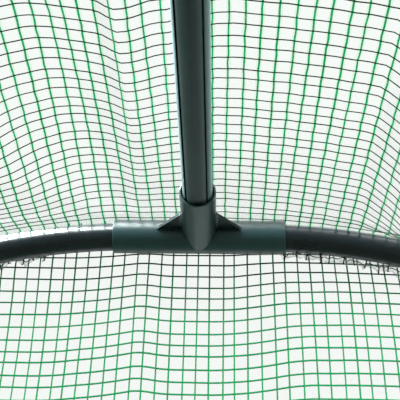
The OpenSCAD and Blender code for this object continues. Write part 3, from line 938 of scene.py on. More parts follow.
def roof_film():
    top, sill = WIN_ROUND
    edges = WIN_EDGES_Y
    around = mirrored(stations(
        (0, 0.26, 0.005), (0.26, 0.50, 0.014), (0.50, top, 0.030), (top, sill, 0.035),
        (sill, HALF_ROUND, 0.035),
    ))
    y = stations(
        (-WALL_Y, edges[0], 0.030), (edges[0], edges[1], 0.035), (edges[1], -0.02, 0.025),
        (-0.02, 0.02, 0.008), (0.02, edges[2], 0.025), (edges[2], 0.56, 0.025),
        (0.56, edges[3], 0.014), (edges[3], WALL_Y, 0.0075),
    )
    grid, outward = roof_points(around[:, None], y)
    cell_round = np.abs((around[1:] + around[:-1]) / 2)
    cell_y = (y[1:] + y[:-1]) / 2
    window_round = (cell_round > top) & (cell_round < sill)
    window_y = np.abs(np.abs(cell_y) - BAY) < WIN_HALF
    keep = ~(window_round[:, None] & window_y)
    sheet("roof_film", grid, outward, M_FILM, ROOF, keep=keep)


def end_film(side, name):
    """One end wall in two bands that meet at door height; the front one has a doorway."""
    outer = ((0.5, 0.93, 0.03), (0.93, 0.9977, 0.012))
    if side > 0:
        x = mirrored(stations((0, 0.21, 0.007), (0.21, 0.5, 0.02), *outer))
        upper = stations((0, 0.5, 0.06), (0.5, 1, 0.025))
    else:
        x = mirrored(stations((0, 0.5, 0.025), *outer))
        upper = stations((0, 1, 0.06))
    lower = np.linspace(0, 1, 45)
    split = (DOOR_TOP - 0.40 * smooth(np.abs(x), 0.5, WALL_Y))[:, None]
    top = top_of(x)[:, None]
    z = np.concatenate([0.002 + (split - 0.002) * lower, split + (top - split) * upper[1:]], 1)
    keep = None
    if side < 0:
        in_door = np.abs((x[1:] + x[:-1]) / 2) < DOOR_HALF
        in_lower = np.arange(z.shape[1] - 1) < len(lower) - 1
        keep = ~(in_door[:, None] & in_lower)
    grid = end_points(x[:, None], z, side)
    sheet(name + "_film", grid, side * Y_AXIS, M_FILM, (name,), keep=keep)


roof_film()
for side, name in ((1, "rear_wall"), (-1, "front_wall")):
    end_film(side, name)


# ---------------------------------------------------------------- threads of the roof and sides
def random_widths(path, low, high):
    return rng.uniform(low, high, (len(path), 1))


def kinks(place, seed, terms):
    """Small wander of threads between crossings; terms are (size, length, seed rate)."""
    return sum(size * np.sin(6.2832 * place / length + rate * seed)
               for size, length, rate in terms)


def roof_run(around, y, step_round, step_y, widths):
    """Path, width direction, normal and widths of threads; the steps point sideways."""
    path, outward = roof_points(around, y)
    before, _ = roof_points(around - step_round, y - step_y)
    after, _ = roof_points(around + step_round, y + step_y)
    sideways = unit(after - before)
    normal = thread_normal(path, sideways, outward)
    return path, sideways, normal, random_widths(path, *widths)


def shifted_by_folds(rows, y):
    """Where threads evenly spaced on the film end up round the hoop, at each y."""
    samples = np.concatenate([np.linspace(-0.9, 0.9, 601), [-HALF_ROUND, HALF_ROUND]])
    samples = np.unique(samples)
    around = np.empty((len(rows), len(y)))
    for j, place_y in enumerate(y):
        extra = fold_length(samples, place_y)
        place = rows.copy()
        for _ in range(4):
            place = rows - np.interp(place, samples, extra)
        around[:, j] = place
    return around


def threads_along():
    """Threads along the ridge, with a faint green see-through strip over each whole one: a painted
    glow.
    """
    ends = (-WALL_Y + 0.001, WALL_Y - 0.001)
    y = stations((ends[0], 0.45, 0.045), (0.45, 0.62, 0.02), (0.62, ends[1], 0.0085))
    last = int((HALF_ROUND - 0.004) / PITCH_ALONG)
    rows = 0.0012 + PITCH_ALONG * np.arange(-last, last + 1)
    rows = rows[np.abs(rows) < HALF_ROUND - 0.003]
    around = shifted_by_folds(rows, y)
    wander = rng.normal(0, 0.0004, (len(rows), 1))
    wander = wander + 0.0006 * np.sin(y * 9 + rng.uniform(*PHASE, (len(rows), 1)))
    wander_terms = ((0.00021, 0.031, 517), (0.00015, 0.0187, 1290))
    around = around + wander + kinks(y, rows[:, None], wander_terms)

    shapes, halos = [], []
    widths = (0.00115, 0.0015)
    beside_window = (np.abs(rows) > WIN_ROUND[0]) & (np.abs(rows) < WIN_ROUND[1])
    alternate = np.r_[np.arange(0, len(y) - 1, 2), len(y) - 1]
    for chunk in np.array_split(around[~beside_window], 8):
        path, sideways, normal, width = roof_run(chunk, y, 0.0012, 0.0, widths)
        shapes.append(strands(path + normal * 0.00008, sideways, normal, width, 0.0007))
        path, sideways, normal = (part[:, alternate] for part in (path, sideways, normal))
        # painted glow: a faint green see-through strip over the thread
        halo_path = path + normal * 0.00030
        halos.append(strands(halo_path, sideways, normal, width + 0.0024, 0.0002))
    stops = (ends[0], *WIN_EDGES_Y, ends[1])
    for start, end in zip(stops[::2], stops[1::2]):
        cut_y = np.linspace(start, end, 10)
        cut_rows = rows[beside_window][:, None]
        path, sideways, normal, width = roof_run(cut_rows, cut_y, 0.0012, 0.0, widths)
        shapes.append(strands(path + normal * 0.00008, sideways, normal, width, 0.0007))
    thread_pieces("roof_threads_along", shapes, M_ALONG_LIT, ROOF)
    thread_pieces("roof_thread_halos", halos, M_GLOW_HALO, ROOF)


def skew(x, ahead):
    """Small drift forward of the across threads beside the ridge."""
    side = np.where(x > 0, 1.0, -1.0) * smooth(np.abs(x), 0.003, 0.018)
    drift = side * np.minimum(ahead * 0.0166, 0.0045)
    drift = drift - 0.08 * np.maximum(x - 0.025, 0) * smooth(ahead, 0.0, 0.03)
    return drift * smooth(np.abs(x), 0.34, 0.20) * smooth(ahead, 0.46, 0.25)


def across_shape(rows, around):
    """Threads across the ridge; rows are distances forward from the rear hoop."""
    x = cover_at(around)[0]
    rows = rows[:, None]
    ahead = rows + skew(x, rows) + rng.normal(0, 0.0003, rows.shape)
    ahead = ahead + 0.0005 * np.sin(around * 7 + rng.uniform(*PHASE, rows.shape))
    ahead = ahead + kinks(x, rows, ((0.00024, 0.029, 613), (0.00016, 0.0176, 1211)))
    y = np.clip(HOOP_GAP - ahead, -WALL_Y + 0.0015, WALL_Y - 0.0015)
    path, sideways, normal, width = roof_run(around, y, 0.0, 0.0012, (0.00092, 0.00125))
    return strands(path - normal * 0.00008, sideways, normal, width, 0.0006)


def threads_across():
    rows = 0.0046 + PITCH_ACROSS * np.arange(-1, int(2 * HOOP_GAP / PITCH_ACROSS) + 2)
    rows = rows[np.abs(HOOP_GAP - rows) < WALL_Y - 0.002]
    end = HALF_ROUND - 0.002
    fine = stations(
        (-end, -0.40, 0.040), (-0.40, -0.23, 0.014), (-0.23, 0.23, 0.0055),
        (0.23, 0.40, 0.014), (0.40, end, 0.040),
    )
    coarse = stations((-end, -0.30, 0.050), (-0.30, 0.30, 0.022), (0.30, end, 0.050))
    in_window = np.abs(np.abs(HOOP_GAP - rows) - BAY) < WIN_HALF
    near_rear = rows < 0.45
    zones = ((near_rear, fine), (~near_rear, coarse))
    shapes = []
    for zone, around in zones:
        for chunk in np.array_split(rows[zone & ~in_window], 4):
            shapes.append(across_shape(chunk, around))
    # at a window the threads stop above it and start again below
    top, sill = WIN_ROUND
    for zone, around in zones:
        chosen = rows[zone & in_window]
        over = around[np.abs(around) < top]
        shapes.append(across_shape(chosen, np.unique(np.r_[-top, over, top])))
        for side in (-1, 1):
            shapes.append(across_shape(chosen, np.sort(np.linspace(sill, end, 9) * side)))
    thread_pieces("roof_threads_across", shapes, M_ACROSS_SHADED, ROOF)


threads_along()
threads_across()


# ---------------------------------------------------------------- threads of the end walls
def sway(x, z):
    """How far the level threads of the rear wall have slipped upwards near the ridge."""
    x_mm = x * 1000
    down = 4.5 - 3.4 * smooth(x_mm, -120, -50) - 1.7 * bell(x_mm, -47, 17, 12.7)
    down = down - 5.1 * smooth(x_mm, 22, 88)
    below = np.maximum(top_of(x) - FILM_OFFSET - 0.004 - z, 0)
    down = np.where(down > 0, down, down * (1 - np.exp(-below / 0.012)))
    near_ridge = smooth(z, RIDGE_Z - 0.33, RIDGE_Z - 0.13) * smooth(np.abs(x), 0.38, 0.19)
    return -down / 1000 * near_ridge


def wall_strands(x, z, side, widths, lift):
    path = end_points(x, z, side)
    outward = side * Y_AXIS
    sideways = unit(np.cross(outward, unit(np.gradient(path, axis=1))))
    normal = thread_normal(path, sideways, outward)
    width = random_widths(path, *widths)
    return strands(path + normal * lift, sideways, normal, width, 0.0006)


def wall_uprights(side):
    last = int(WALL_Y / PITCH_UPRIGHT)
    columns = -0.0010 + PITCH_UPRIGHT * np.arange(-last, last + 1)
    columns = columns[np.abs(columns) < WALL_Y - 0.003]
    columns = columns + rng.normal(0, 0.0003, columns.shape)
    # the middle threads are finer on the rear wall and start above the door on the front
    if side > 0:
        limit, start = 0.26, 0.003
        steps = stations((0, 0.88, 0.035), (0.88, 1.0, 0.0045))
    else:
        limit, start = DOOR_HALF, DOOR_TOP
        steps = np.linspace(0, 1, 8)
    middle = np.abs(columns) < limit
    shapes = []
    for chosen, bottom, shares in (
        (columns[middle], start, steps),
        (columns[~middle], 0.003, np.linspace(0, 1, 26)),
    ):
        height = top_of(chosen) - 0.0012 - bottom
        z = bottom + height[:, None] * shares
        phase = rng.uniform(*PHASE, (len(chosen), 1))
        x = chosen[:, None] + 0.0006 * np.sin(z * 8 + phase)
        shapes.append(wall_strands(x, z, side, (0.0012, 0.0015), lift=-0.00008))
    return shapes


def level_places(start, end, fine):
    """Places across along one level thread."""
    if not fine:
        return np.linspace(start, end, max(3, int((end - start) / 0.04)))
    limit = 0.24
    if end > limit:
        return stations((start, -limit, 0.04), (-limit, limit, 0.006), (limit, end, 0.04))
    return np.linspace(start, end, max(6, int(2 * end / 0.006)))


def wall_levels(side):
    rows = RIDGE_Z + 0.0028 - PITCH_LEVEL * np.arange(-1, int(RIDGE_Z / PITCH_LEVEL))
    rows = rows[(rows > 0.004) & (rows < RIDGE_Z + FILM_OFFSET - 0.004)]
    rows = rows + rng.normal(0, 0.00025, rows.shape)
    half_widths = np.minimum(width_at(rows) - 0.002, WALL_Y - 0.002)
    shapes = []
    for height, half in zip(rows, half_widths):
        fine = side > 0 and height > RIDGE_Z - 0.16
        spans = [(-half, half)]
        if side < 0 and height < DOOR_TOP:
            spans = [(-half, -DOOR_HALF), (DOOR_HALF, half)]
        for start, end in spans:
            x = level_places(start, end, fine)[None, :]
            z = height + 0.0005 * np.sin(x * 9 + rng.uniform(*PHASE))
            if side > 0:
                z = z + sway(x, z)
            shapes.append(wall_strands(x, z, side, (0.0014, 0.0017), lift=0.00008))
    return shapes


for side, name in ((1, "rear_wall"), (-1, "front_wall")):
    thread_pieces(name + "_threads_upright", wall_uprights(side), M_UPRIGHT, (name,))
    thread_pieces(name + "_threads_level", wall_levels(side), M_LEVEL, (name,))


# ---------------------------------------------------------------- seams of the two end hoops
# columns of the binding folded over an edge: distance beyond the wall, lift off the cover,
# then the shares of the cover's and the wall's direction in the normal
BINDING_COLUMNS = (
    (-0.013, 0.0006, 1, 0), (-0.006, 0.0008, 1, 0), (0.0, 0.0009, 1, 0.7),
    (0.0011, 0.0006, 0, 1), (0.0011, -0.004, 0, 1), (0.0011, -0.012, 0, 1),
)


def hang(around, side):
    """How far the seam allowance hangs in from the seam; the rear one is uneven near the ridge."""
    x = cover_at(around)[0]
    depth = 0.030 + 0.006 * np.sin(3.1 * around + side)
    depth = depth + 0.004 * np.sin(11 * around + 2 * side)
    if side > 0:
        uneven = 0.029 + 0.0215 * smooth(x, 0.058, 0.078) + 0.0020 * smooth(x, 0.14, 0.18)
        uneven = uneven + 0.0200 * smooth(-x, 0.122, 0.150)
        uneven = uneven + 0.0165 * bell(x, -0.097, 0.010, 0.006)
        depth = np.where(np.abs(x) < 0.26, uneven, depth)
    return depth


def seam_allowance(side, name):
    """The crinkled strip of film inside the seam, and its own threads."""
    noise = np.random.default_rng(40 + side)
    end = HALF_ROUND - 0.003
    around = stations((-end, -0.26, 0.012), (-0.26, 0.26, 0.0028), (0.26, end, 0.012))
    x, z, out_x, out_z = (part[:, None] for part in cover_at(around))
    ragged = 0.0022 * np.sin(around * 410 + side) * np.sin(around * 173)
    ragged = ragged + 0.0013 * noise.normal(size=len(around))
    share = np.linspace(0, 1, 12)
    depth = (hang(around, side) + ragged)[:, None] * share
    offset = FILM_OFFSET - 0.0004 - depth
    free = smooth(-offset, 0.010, 0.030)
    place = around[:, None]
    crinkle = (
        np.sin(place * 260 + 3 * np.sin(share * 5 + place * 40)) * 0.5
        + np.sin(place * 611 + share * 9) * 0.35
        + 0.35 * noise.normal(size=depth.shape)
    )
    inward = 0.0012 + 0.0006 * (crinkle * 0.5 + 0.5).clip(0, 1)
    inward = inward + free * (0.0035 + 0.0030 * crinkle) + free * 0.004 * share
    along = free * 0.0016 * np.sin(place * 333 + share * 7 + 1.3)
    grid = points(
        x + out_x * offset + out_z * along,
        side * (WALL_Y - FILM_THICK / 2 - inward),
        np.maximum(z + out_z * offset - out_x * along, 0.003),
    )
    wall = (name + "_wall",)
    sheet(name + "_seam_allowance", grid, side * Y_AXIS, M_FRINGE, wall + ROOF, thick=0.0003)

    inside = -side * Y_AXIS
    runs = [lay_threads(grid[None, :, j], inside, 0.0010, 0.0006, 0.0002) for j in (6, 8, 10)]
    # the cut ends of the crossing threads stick out of its edge
    ends = []
    for spot in np.arange(-HALF_ROUND + 0.02, HALF_ROUND - 0.02, 0.0112) + 0.004:
        base = grid[int(np.argmin(np.abs(around - spot))), 3:12]
        reach = (base[-1] - base[-2]) * noise.uniform(-0.2, 0.35)
        bend = [noise.normal() * 0.0016, -side * abs(noise.normal()) * 0.0012, 0]
        tip = base[-1] + reach + np.array(bend)
        ends.append(np.concatenate([base, tip[None]]))
    ends = lay_threads(np.array(ends), inside, 0.0012, 0.0006, 0.0002)
    thread_pieces(name + "_seam_threads_along", runs, M_CUT_ENDS, wall)
    thread_pieces(name + "_seam_threads_ends", [ends], M_CUT_ENDS, wall)


def edge_binding(side, name):
    """Clear binding folded over the outer edge, with its line of stitches."""
    around = stations((-HALF_ROUND + 0.003, HALF_ROUND - 0.003, 0.025))
    x, z, out_x, out_z = cover_at(around)
    columns, normals = [], []
    for beyond, lift, cover_share, wall_share in BINDING_COLUMNS:
        y = side * (WALL_Y + beyond)
        if beyond < 0:
            lift = roof_lift(around, y) + lift
        columns.append(points(x + out_x * lift, y, np.maximum(z + out_z * lift, 0.003)))
        normals.append(points(out_x * cover_share, side * wall_share, out_z * cover_share))
    grid, normal = np.stack(columns, 1), unit(np.stack(normals, 1))
    replaces = (name + "_wall", *ROOF)
    sheet(name + "_edge_binding", grid, normal, M_EDGE, replaces, thick=0.0004)
    row = points(x + out_x * 0.0013, side * (WALL_Y - 0.008), z + out_z * 0.0013)
    outward = resample(row, 0.006, points(out_x, 0.0, out_z))
    sewn = stitches(row, outward)
    make(name + "_edge_stitches", *sewn, M_STITCH, ROOF, slot="cover_film")


for side, name in ((1, "rear"), (-1, "front")):
    seam_allowance(side, name)
    edge_binding(side, name)


# ---------------------------------------------------------------- door flap and door edging
FRONT = -Y_AXIS
FRONT_WALL = ("front_wall",)
FLAP_HALF = DOOR_HALF - 0.004
FLAP_TOP = DOOR_TOP - 0.0005


def door_points(x, z):
    """Points of the door flap: gently wavy, flat at its edges and over the roll."""
    wave = 0.0016 * np.sin(x * 15 + 2.2 * np.sin(z * 2.1))
    wave = wave + 0.0011 * np.sin(z * 19 + x * 5) + 0.0009 * np.sin(x * 41 + z * 7)
    edge = smooth(FLAP_HALF - np.abs(x), 0.004, 0.07) * smooth(FLAP_TOP - z, 0.003, 0.08)
    low = smooth(z, 0.20, DOOR_ROLL_Z)
    lift = np.maximum(wave, -0.0016) * edge * (1 - low) + low * 0.0016
    return points(x, -(WALL_Y + lift), z)


def door_threads(x, z, widths, lift):
    path = door_points(x, z)
    return lay_threads(path, FRONT, random_widths(path, *widths), 0.0006, lift)


def door_flap():
    node = ("door_flap",)
    x = np.linspace(-FLAP_HALF, FLAP_HALF, 46)
    z = stations((DOOR_ROLL_Z, 0.22, 0.012), (0.22, FLAP_TOP, 0.034))
    parts = [sheet("door_flap_film", door_points(x[:, None], z), FRONT, M_FILM, node)]
    x = -0.0010 + PITCH_UPRIGHT * np.arange(-43, 44)
    z = stations((DOOR_ROLL_Z, 0.22, 0.02), (0.22, FLAP_TOP - 0.001, 0.05))
    shape = door_threads(x[:, None], z, (0.0012, 0.0015), lift=0.00008)
    parts += thread_pieces("door_threads_upright", [shape], M_UPRIGHT, node)
    z = np.arange(DOOR_ROLL_Z + 0.005, FLAP_TOP - 0.002, PITCH_LEVEL)
    x = np.linspace(-FLAP_HALF + 0.001, FLAP_HALF - 0.001, 32)
    shape = door_threads(x, z[:, None], (0.0011, 0.0014), lift=-0.00008)
    parts += thread_pieces("door_threads_level", [shape], M_LEVEL, node)
    z = np.linspace(DOOR_ROLL_Z, FLAP_TOP, 60)
    for side, name in SIDES:
        path = points(side * (FLAP_HALF - 0.009), -(WALL_Y + 0.0010), z)
        parts.append(ribbon(f"door_flap_edge_{name}", path, X_AXIS, FRONT, 0.016, M_BIND, node))
    for piece in parts:
        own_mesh(piece)


def doorway_edging():
    """Binding on the wall beside each zip and over the door, with two rows of stitches."""
    z = np.linspace(0.012, DOOR_TOP + 0.006, 70)
    for side, name in SIDES:
        y = -(WALL_Y + 0.0009) + 0.0002 * np.sin(z * 60)
        path = points(side * (DOOR_HALF + 0.013), y, z)
        ribbon(f"doorway_edge_{name}", path, X_AXIS, FRONT, 0.020, M_BIND, FRONT_WALL)
        rows = [
            stitches(points(side * (DOOR_HALF + out), -(WALL_Y + 0.0012), z), FRONT)
            for out in (0.0065, 0.0195)
        ]
        make(f"doorway_stitches_{name}", *join(rows), M_STITCH, FRONT_WALL)
    header_z = DOOR_TOP + 0.012
    x = np.linspace(-DOOR_HALF - 0.023, DOOR_HALF + 0.023, 60)
    path = points(x, -(WALL_Y + 0.0011), header_z + 0.0003 * np.sin(x * 40))
    ribbon("doorway_header", path, Z_AXIS, FRONT, 0.022, M_BIND, FRONT_WALL)
    rows = [
        stitches(points(x, -(WALL_Y + 0.0014), header_z + offset), FRONT)
        for offset in (-0.008, 0.008)
    ]
    make("doorway_header_stitches", *join(rows), M_STITCH, FRONT_WALL)


def zip_tooth(left, right, z):
    """A tooth that narrows forwards."""
    half = 0.00115
    verts = []
    for y, inset, rise in ((-(OUTSIDE + 0.0008), 0, half), (-(OUTSIDE + 0.0030), 0.0004, half * 0.72)):
        x0, x1 = left + inset, right - inset
        verts += [(x0, y, z - rise), (x1, y, z - rise), (x1, y, z + rise), (x0, y, z + rise)]
    quads = [(0, 1, 2, 3), (7, 6, 5, 4), (0, 4, 5, 1), (1, 5, 6, 2), (2, 6, 7, 3), (3, 7, 4, 0)]
    return verts, quads, ()


def zip_stop(centre, z):
    """The small block that ends a chain of teeth."""
    x0, x1 = centre - 0.004, centre + 0.004
    y0, y1 = -(OUTSIDE + 0.0034), -(OUTSIDE + 0.0006)
    verts = [
        corner for level in (z, z + 0.004)
        for corner in ((x0, y0, level), (x1, y0, level), (x1, y1, level), (x0, y1, level))
    ]
    quads = [(0, 3, 2, 1), (4, 5, 6, 7), (0, 1, 5, 4), (1, 2, 6, 5), (2, 3, 7, 6), (3, 0, 4, 7)]
    return verts, quads, ()


def door_zip(side, name):
    """Woven tape, a chain of moulded teeth and two rows of stitches."""
    node = (f"{name}_door_zip",)
    centre = side * ZIP_X
    z = np.linspace(0.030, 1.692, 130)
    y = -(OUTSIDE + 0.00045) + 0.00012 * np.sin(z * 90)
    path = points(centre + 0.0004 * np.sin(z * 23), y, z)
    ribbon(f"{name}_zip_tape", path, X_AXIS, FRONT, 0.028, M_TAPE, node, thick=0.0007, cols=4)
    teeth, tooth_z = [], 0.035
    while tooth_z < 1.683:
        left, right = (-0.0010, 0.0026) if len(teeth) % 2 else (-0.0026, 0.0010)
        teeth.append(zip_tooth(centre + left, centre + right, tooth_z))
        tooth_z += 0.0030
    teeth += [zip_stop(centre, stop_z) for stop_z in (0.034, 1.684)]
    make(f"{name}_zip_teeth", *join(teeth), M_TEETH, node, smooth_faces=False)
    rows = [
        stitches(points(centre + offset, -(OUTSIDE + 0.0008), z), FRONT,
                 pitch=0.005, length=0.003, size=0.0006, lift=0.0002)
        for offset in (-0.011, 0.011)
    ]
    make(f"{name}_zip_stitches", *join(rows), M_STITCH, node, slot="zip_tape")


door_flap()
doorway_edging()
for side, name in SIDES:
    door_zip(side, name)


# ---------------------------------------------------------------- rolled hems
ROLL_TURNS, ROLL_STEPS = 5.25, 22  # turns of the spiral, steps in a turn
ROLL_START = np.pi * 0.15


def film_roll(name, centre, axis, sideways, half, radius, seed):
    """The rolled hem of a flap: a spiral of film with threads on its outer turn."""
    phase = np.random.default_rng(seed).uniform(*PHASE, 6)
    count = int(ROLL_TURNS * ROLL_STEPS) + 1
    turns = np.linspace(0, ROLL_TURNS * 2 * np.pi, count)
    radii = np.linspace(radius * 0.22, radius - 0.0011, count)

    def spiral(turn, along, lift=0.0, slide=0.0):
        """Points and normals of the spiral; slide moves points along the roll."""
        wobble = (
            1
            + 0.022 * np.sin(3 * turn + along * 14 + phase[0])
            + 0.016 * np.sin(2 * turn - along * 31 + phase[1])
            + 0.010 * np.sin(5 * turn + along * 57 + phase[2])
        )
        reach = np.minimum(np.interp(turn, turns, radii) * wobble, radius - 0.0007) + lift
        angle = turn + ROLL_START
        outward = np.cos(angle)[..., None] * sideways + np.sin(angle)[..., None] * Z_AXIS
        return centre + (along + slide)[..., None] * axis + reach[..., None] * outward, outward

    along = np.linspace(-half, half, 34)
    turn = turns[:, None]
    slide = 0.0025 * np.sin(turn * 0.7 + phase[3]) * (np.abs(along) / half) ** 6
    grid, outward = spiral(turn, along, slide=slide)
    sheet(name + "_film", grid, outward, M_ROLL, (name,), thick=0.0005, body=name)

    last_turn = (ROLL_TURNS - 1) * 2 * np.pi
    rings = int(2 * half / PITCH_UPRIGHT) - 1
    ring_places = ((np.arange(rings) - (rings - 1) / 2) * PITCH_UPRIGHT)[:, None]
    angle = np.linspace(0.02, 2 * np.pi - 0.02, 30)
    wavy = ring_places + 0.0006 * np.sin(angle * 2 + ring_places * 50)
    path, outward = spiral(last_turn + angle, wavy, lift=0.00035)
    shape = lay_threads(path, outward, 0.0013, 0.0005)
    thread_pieces(name + "_threads_round", [shape], M_UPRIGHT, (name,), name)

    longs = int(2 * np.pi * radius / PITCH_LEVEL)
    angle = ((np.arange(longs) + 0.5) * 2 * np.pi / longs)[:, None]
    along = np.linspace(-half + 0.001, half - 0.001, 40)
    turn = last_turn + angle + 0.04 * np.sin(along * 9)
    path, outward = spiral(turn, along, lift=0.00035)
    shape = lay_threads(path, outward, 0.0012, 0.0005)
    thread_pieces(name + "_threads_long", [shape], M_LEVEL, (name,), name)


film_roll(
    "door_roll", (0, -(OUTSIDE + 0.0015 + DOOR_ROLL_D / 2), DOOR_ROLL_Z), X_AXIS, Y_AXIS,
    half=ZIP_X - 0.016, radius=DOOR_ROLL_D / 2, seed=5,
)


# ---------------------------------------------------------------- windows
NET_PITCH = 0.0030
WIN_FLAP_BOTTOM, WIN_FLAP_TOP = WIN_BOTTOM + 0.005, WIN_TOP + 0.030
WIN_FLAP_HALF = WIN_HALF + 0.030
SCREEN_NODE, FLAP_NODE = ("window_screens",), ("window_flaps",)


def window_netting(side, centre_y, tag):
    outward = side * X_AXIS

    def net(y, z):
        height = (z - WIN_BOTTOM) / (WIN_TOP - WIN_BOTTOM)
        bow = 0.0035 * np.cos(np.pi * (y - centre_y) / WIN_WIDTH) * np.sin(np.pi * height)
        return points(side * (OUTSIDE - 0.0003 - np.abs(bow)), y, z)

    start_y, end_y = centre_y - WIN_HALF, centre_y + WIN_HALF
    columns = np.arange(start_y + 0.0015, end_y - 0.001, NET_PITCH)[:, None]
    rows = np.arange(WIN_BOTTOM + 0.0015, WIN_TOP - 0.001, NET_PITCH)[:, None]
    column_z = np.linspace(WIN_BOTTOM - 0.004, WIN_TOP + 0.004, 7)
    row_y = np.linspace(start_y - 0.004, end_y + 0.004, 7)
    shapes = [
        strands(net(columns, column_z), Y_AXIS, outward, 0.00042, 0.0004),
        strands(net(row_y, rows), Z_AXIS, outward, 0.00042, 0.0004),
    ]
    thread_pieces(f"{tag}_netting", shapes, M_NET, SCREEN_NODE)


def window_edging(side, centre_y, tag):
    """Binding sewn round the opening on the outside."""
    outward = side * X_AXIS
    x = side * (OUTSIDE + 0.0002)
    start_y, end_y = centre_y - WIN_HALF, centre_y + WIN_HALF
    run_y = np.linspace(start_y - 0.014, end_y + 0.014, 30)
    run_z = np.linspace(WIN_BOTTOM - 0.014, WIN_TOP + 0.014, 36)
    for edge, y, z, sideways in (
        ("sill", run_y, WIN_BOTTOM - 0.004, Z_AXIS),
        ("head", run_y, WIN_TOP + 0.004, Z_AXIS),
        ("near", start_y - 0.004, run_z, Y_AXIS),
        ("far", end_y + 0.004, run_z, Y_AXIS),
    ):
        name = f"{tag}_edge_{edge}"
        path = points(x, y, z)
        ribbon(name, path, sideways, outward, 0.020, M_BIND, SCREEN_NODE, thick=0.0005)
        sewn = stitches(path + outward * 0.00025, outward, size=0.0006, lift=0.0001)
        make(f"{name}_stitches", *sewn, M_STITCH, SCREEN_NODE)


def window_flap(side, end, centre_y, tag):
    outward = side * X_AXIS
    start_y, end_y = centre_y - WIN_FLAP_HALF, centre_y + WIN_FLAP_HALF
    bottom, top = WIN_FLAP_BOTTOM, WIN_FLAP_TOP

    def flap_points(y, z):
        wave = 0.0013 * np.sin((y - centre_y) * 17 + 2 * np.sin(z * 4) + side + end)
        wave = wave + 0.0009 * np.sin(z * 23 + y * 6)
        edge = smooth(np.minimum(y - start_y, end_y - y), 0.0, 0.05) * smooth(top - z, 0.0, 0.06)
        low = smooth(z, 0.50, bottom)
        lift = np.maximum(wave, -0.0002) * edge * (1 - low) + low * 0.0012
        return points(side * (FLAP_X + lift), y, z)

    def flap_threads(y, z, lift):
        path = flap_points(y, z)
        return lay_threads(path, outward, random_widths(path, 0.0012, 0.0015), 0.0006, lift)

    y = np.linspace(start_y, end_y, 30)[:, None]
    z = stations((bottom, 0.5, 0.016), (0.5, top, 0.035))
    film = sheet(f"{tag}_flap_film", flap_points(y, z), outward, M_FILM, FLAP_NODE, thick=0.0003)
    y = np.arange(start_y + 0.004, end_y - 0.003, PITCH_UPRIGHT)[:, None]
    z = stations((bottom, 0.5, 0.025), (0.5, top - 0.001, 0.055))
    shape = flap_threads(y, z, lift=0.0001)
    uprights = thread_pieces(f"{tag}_flap_threads_upright", [shape], M_UPRIGHT, FLAP_NODE)
    z = np.arange(bottom + 0.006, top - 0.002, PITCH_LEVEL)[:, None]
    y = np.linspace(start_y + 0.001, end_y - 0.001, 22)
    shape = flap_threads(y, z, lift=0.0)
    levels = thread_pieces(f"{tag}_flap_threads_level", [shape], M_LEVEL, FLAP_NODE)
    # each piece takes a mesh of its own; rolling up, which shortens the flap towards its head by 0.68,
    # is not done here
    for piece in [film, *uprights, *levels]:
        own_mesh(piece)

    name = f"{tag}_flap_head"
    x = side * (FLAP_X + 0.0006)
    y = np.linspace(start_y - 0.004, end_y + 0.004, 30)
    path = points(x, y, top + 0.001)
    ribbon(name, path, Z_AXIS, outward, 0.022, M_BIND, FLAP_NODE, thick=0.0005)
    row = points(x + side * 0.0003, y, top + 0.004)
    sewn = stitches(row, outward, size=0.0006, lift=0.0001)
    make(f"{name}_stitches", *sewn, M_STITCH, FLAP_NODE)


for side, side_name in SIDES:
    for end, end_name in ENDS:
        tag = f"{end_name}_{side_name}_window"
        centre_y = end * BAY
        window_netting(side, centre_y, tag)
        window_edging(side, centre_y, tag)
        window_flap(side, end, centre_y, tag)
        roll_x = side * (OUTSIDE + 0.0013 + 0.0012 + WIN_ROLL_D / 2)
        film_roll(
            f"{tag}_roll", (roll_x, centre_y, WIN_FLAP_BOTTOM), Y_AXIS, X_AXIS,
            half=WIN_HALF + 0.020, radius=WIN_ROLL_D / 2, seed=20 + 2 * side + end,
        )


# ---------------------------------------------------------------- straps that hold a rolled flap
def toggle(centre, axis, length=0.034, radius=0.004):
    """A turned toggle with waists, along axis."""
    share = np.linspace(-1, 1, 17)
    ends = np.sqrt(np.clip(1 - np.abs(share) ** 7, 0.02, 1))
    radii = radius * (0.80 + 0.20 * np.cos(share * np.pi * 2) ** 2) * ends
    return round_bar(centre + np.outer(share * length / 2, axis), radii, 14)


def strap(origin, across, outward, name):
    """A webbing tab running up from its sewn end, with a box of stitches, loop and toggle."""
    node = ("tie_straps",)
    origin = np.array(origin)
    height = np.linspace(0, 0.084, 24)
    lift = 0.0007 + 0.0012 * smooth(height, 0.020, 0.050) * smooth(height, 0.084, 0.070)
    path = origin + np.outer(height, Z_AXIS) + np.outer(lift, outward)
    ribbon(name + "_web", path, across, outward, 0.024, M_WEB, node, thick=0.0011, cols=4)
    face = origin + outward * 0.0013
    level = np.outer(np.linspace(-0.010, 0.010, 8), across)
    upright = np.outer(np.linspace(0.004, 0.016, 6), Z_AXIS)
    box = [face + level + Z_AXIS * rise for rise in (0.004, 0.016)]
    box += [face + upright + across * offset for offset in (-0.010, 0.010)]
    rows = [stitches(row, outward, pitch=0.0024, length=0.0018, lift=0.0002) for row in box]
    make(name + "_bartack", *join(rows), M_STITCH, node)
    centre = origin + Z_AXIS * 0.066 + outward * 0.0072
    angle = np.linspace(0, 2 * np.pi, 15)[:-1]
    loop = centre + np.outer(-0.0036 + 0.0062 * np.cos(angle), outward)
    loop = loop + np.outer(0.0052 * np.sin(angle), Z_AXIS)
    parts = [toggle(centre, across), round_bar(loop, 0.0012, 8, closed=True)]
    make(name + "_toggle", *join(parts), M_TOGGLE, node)


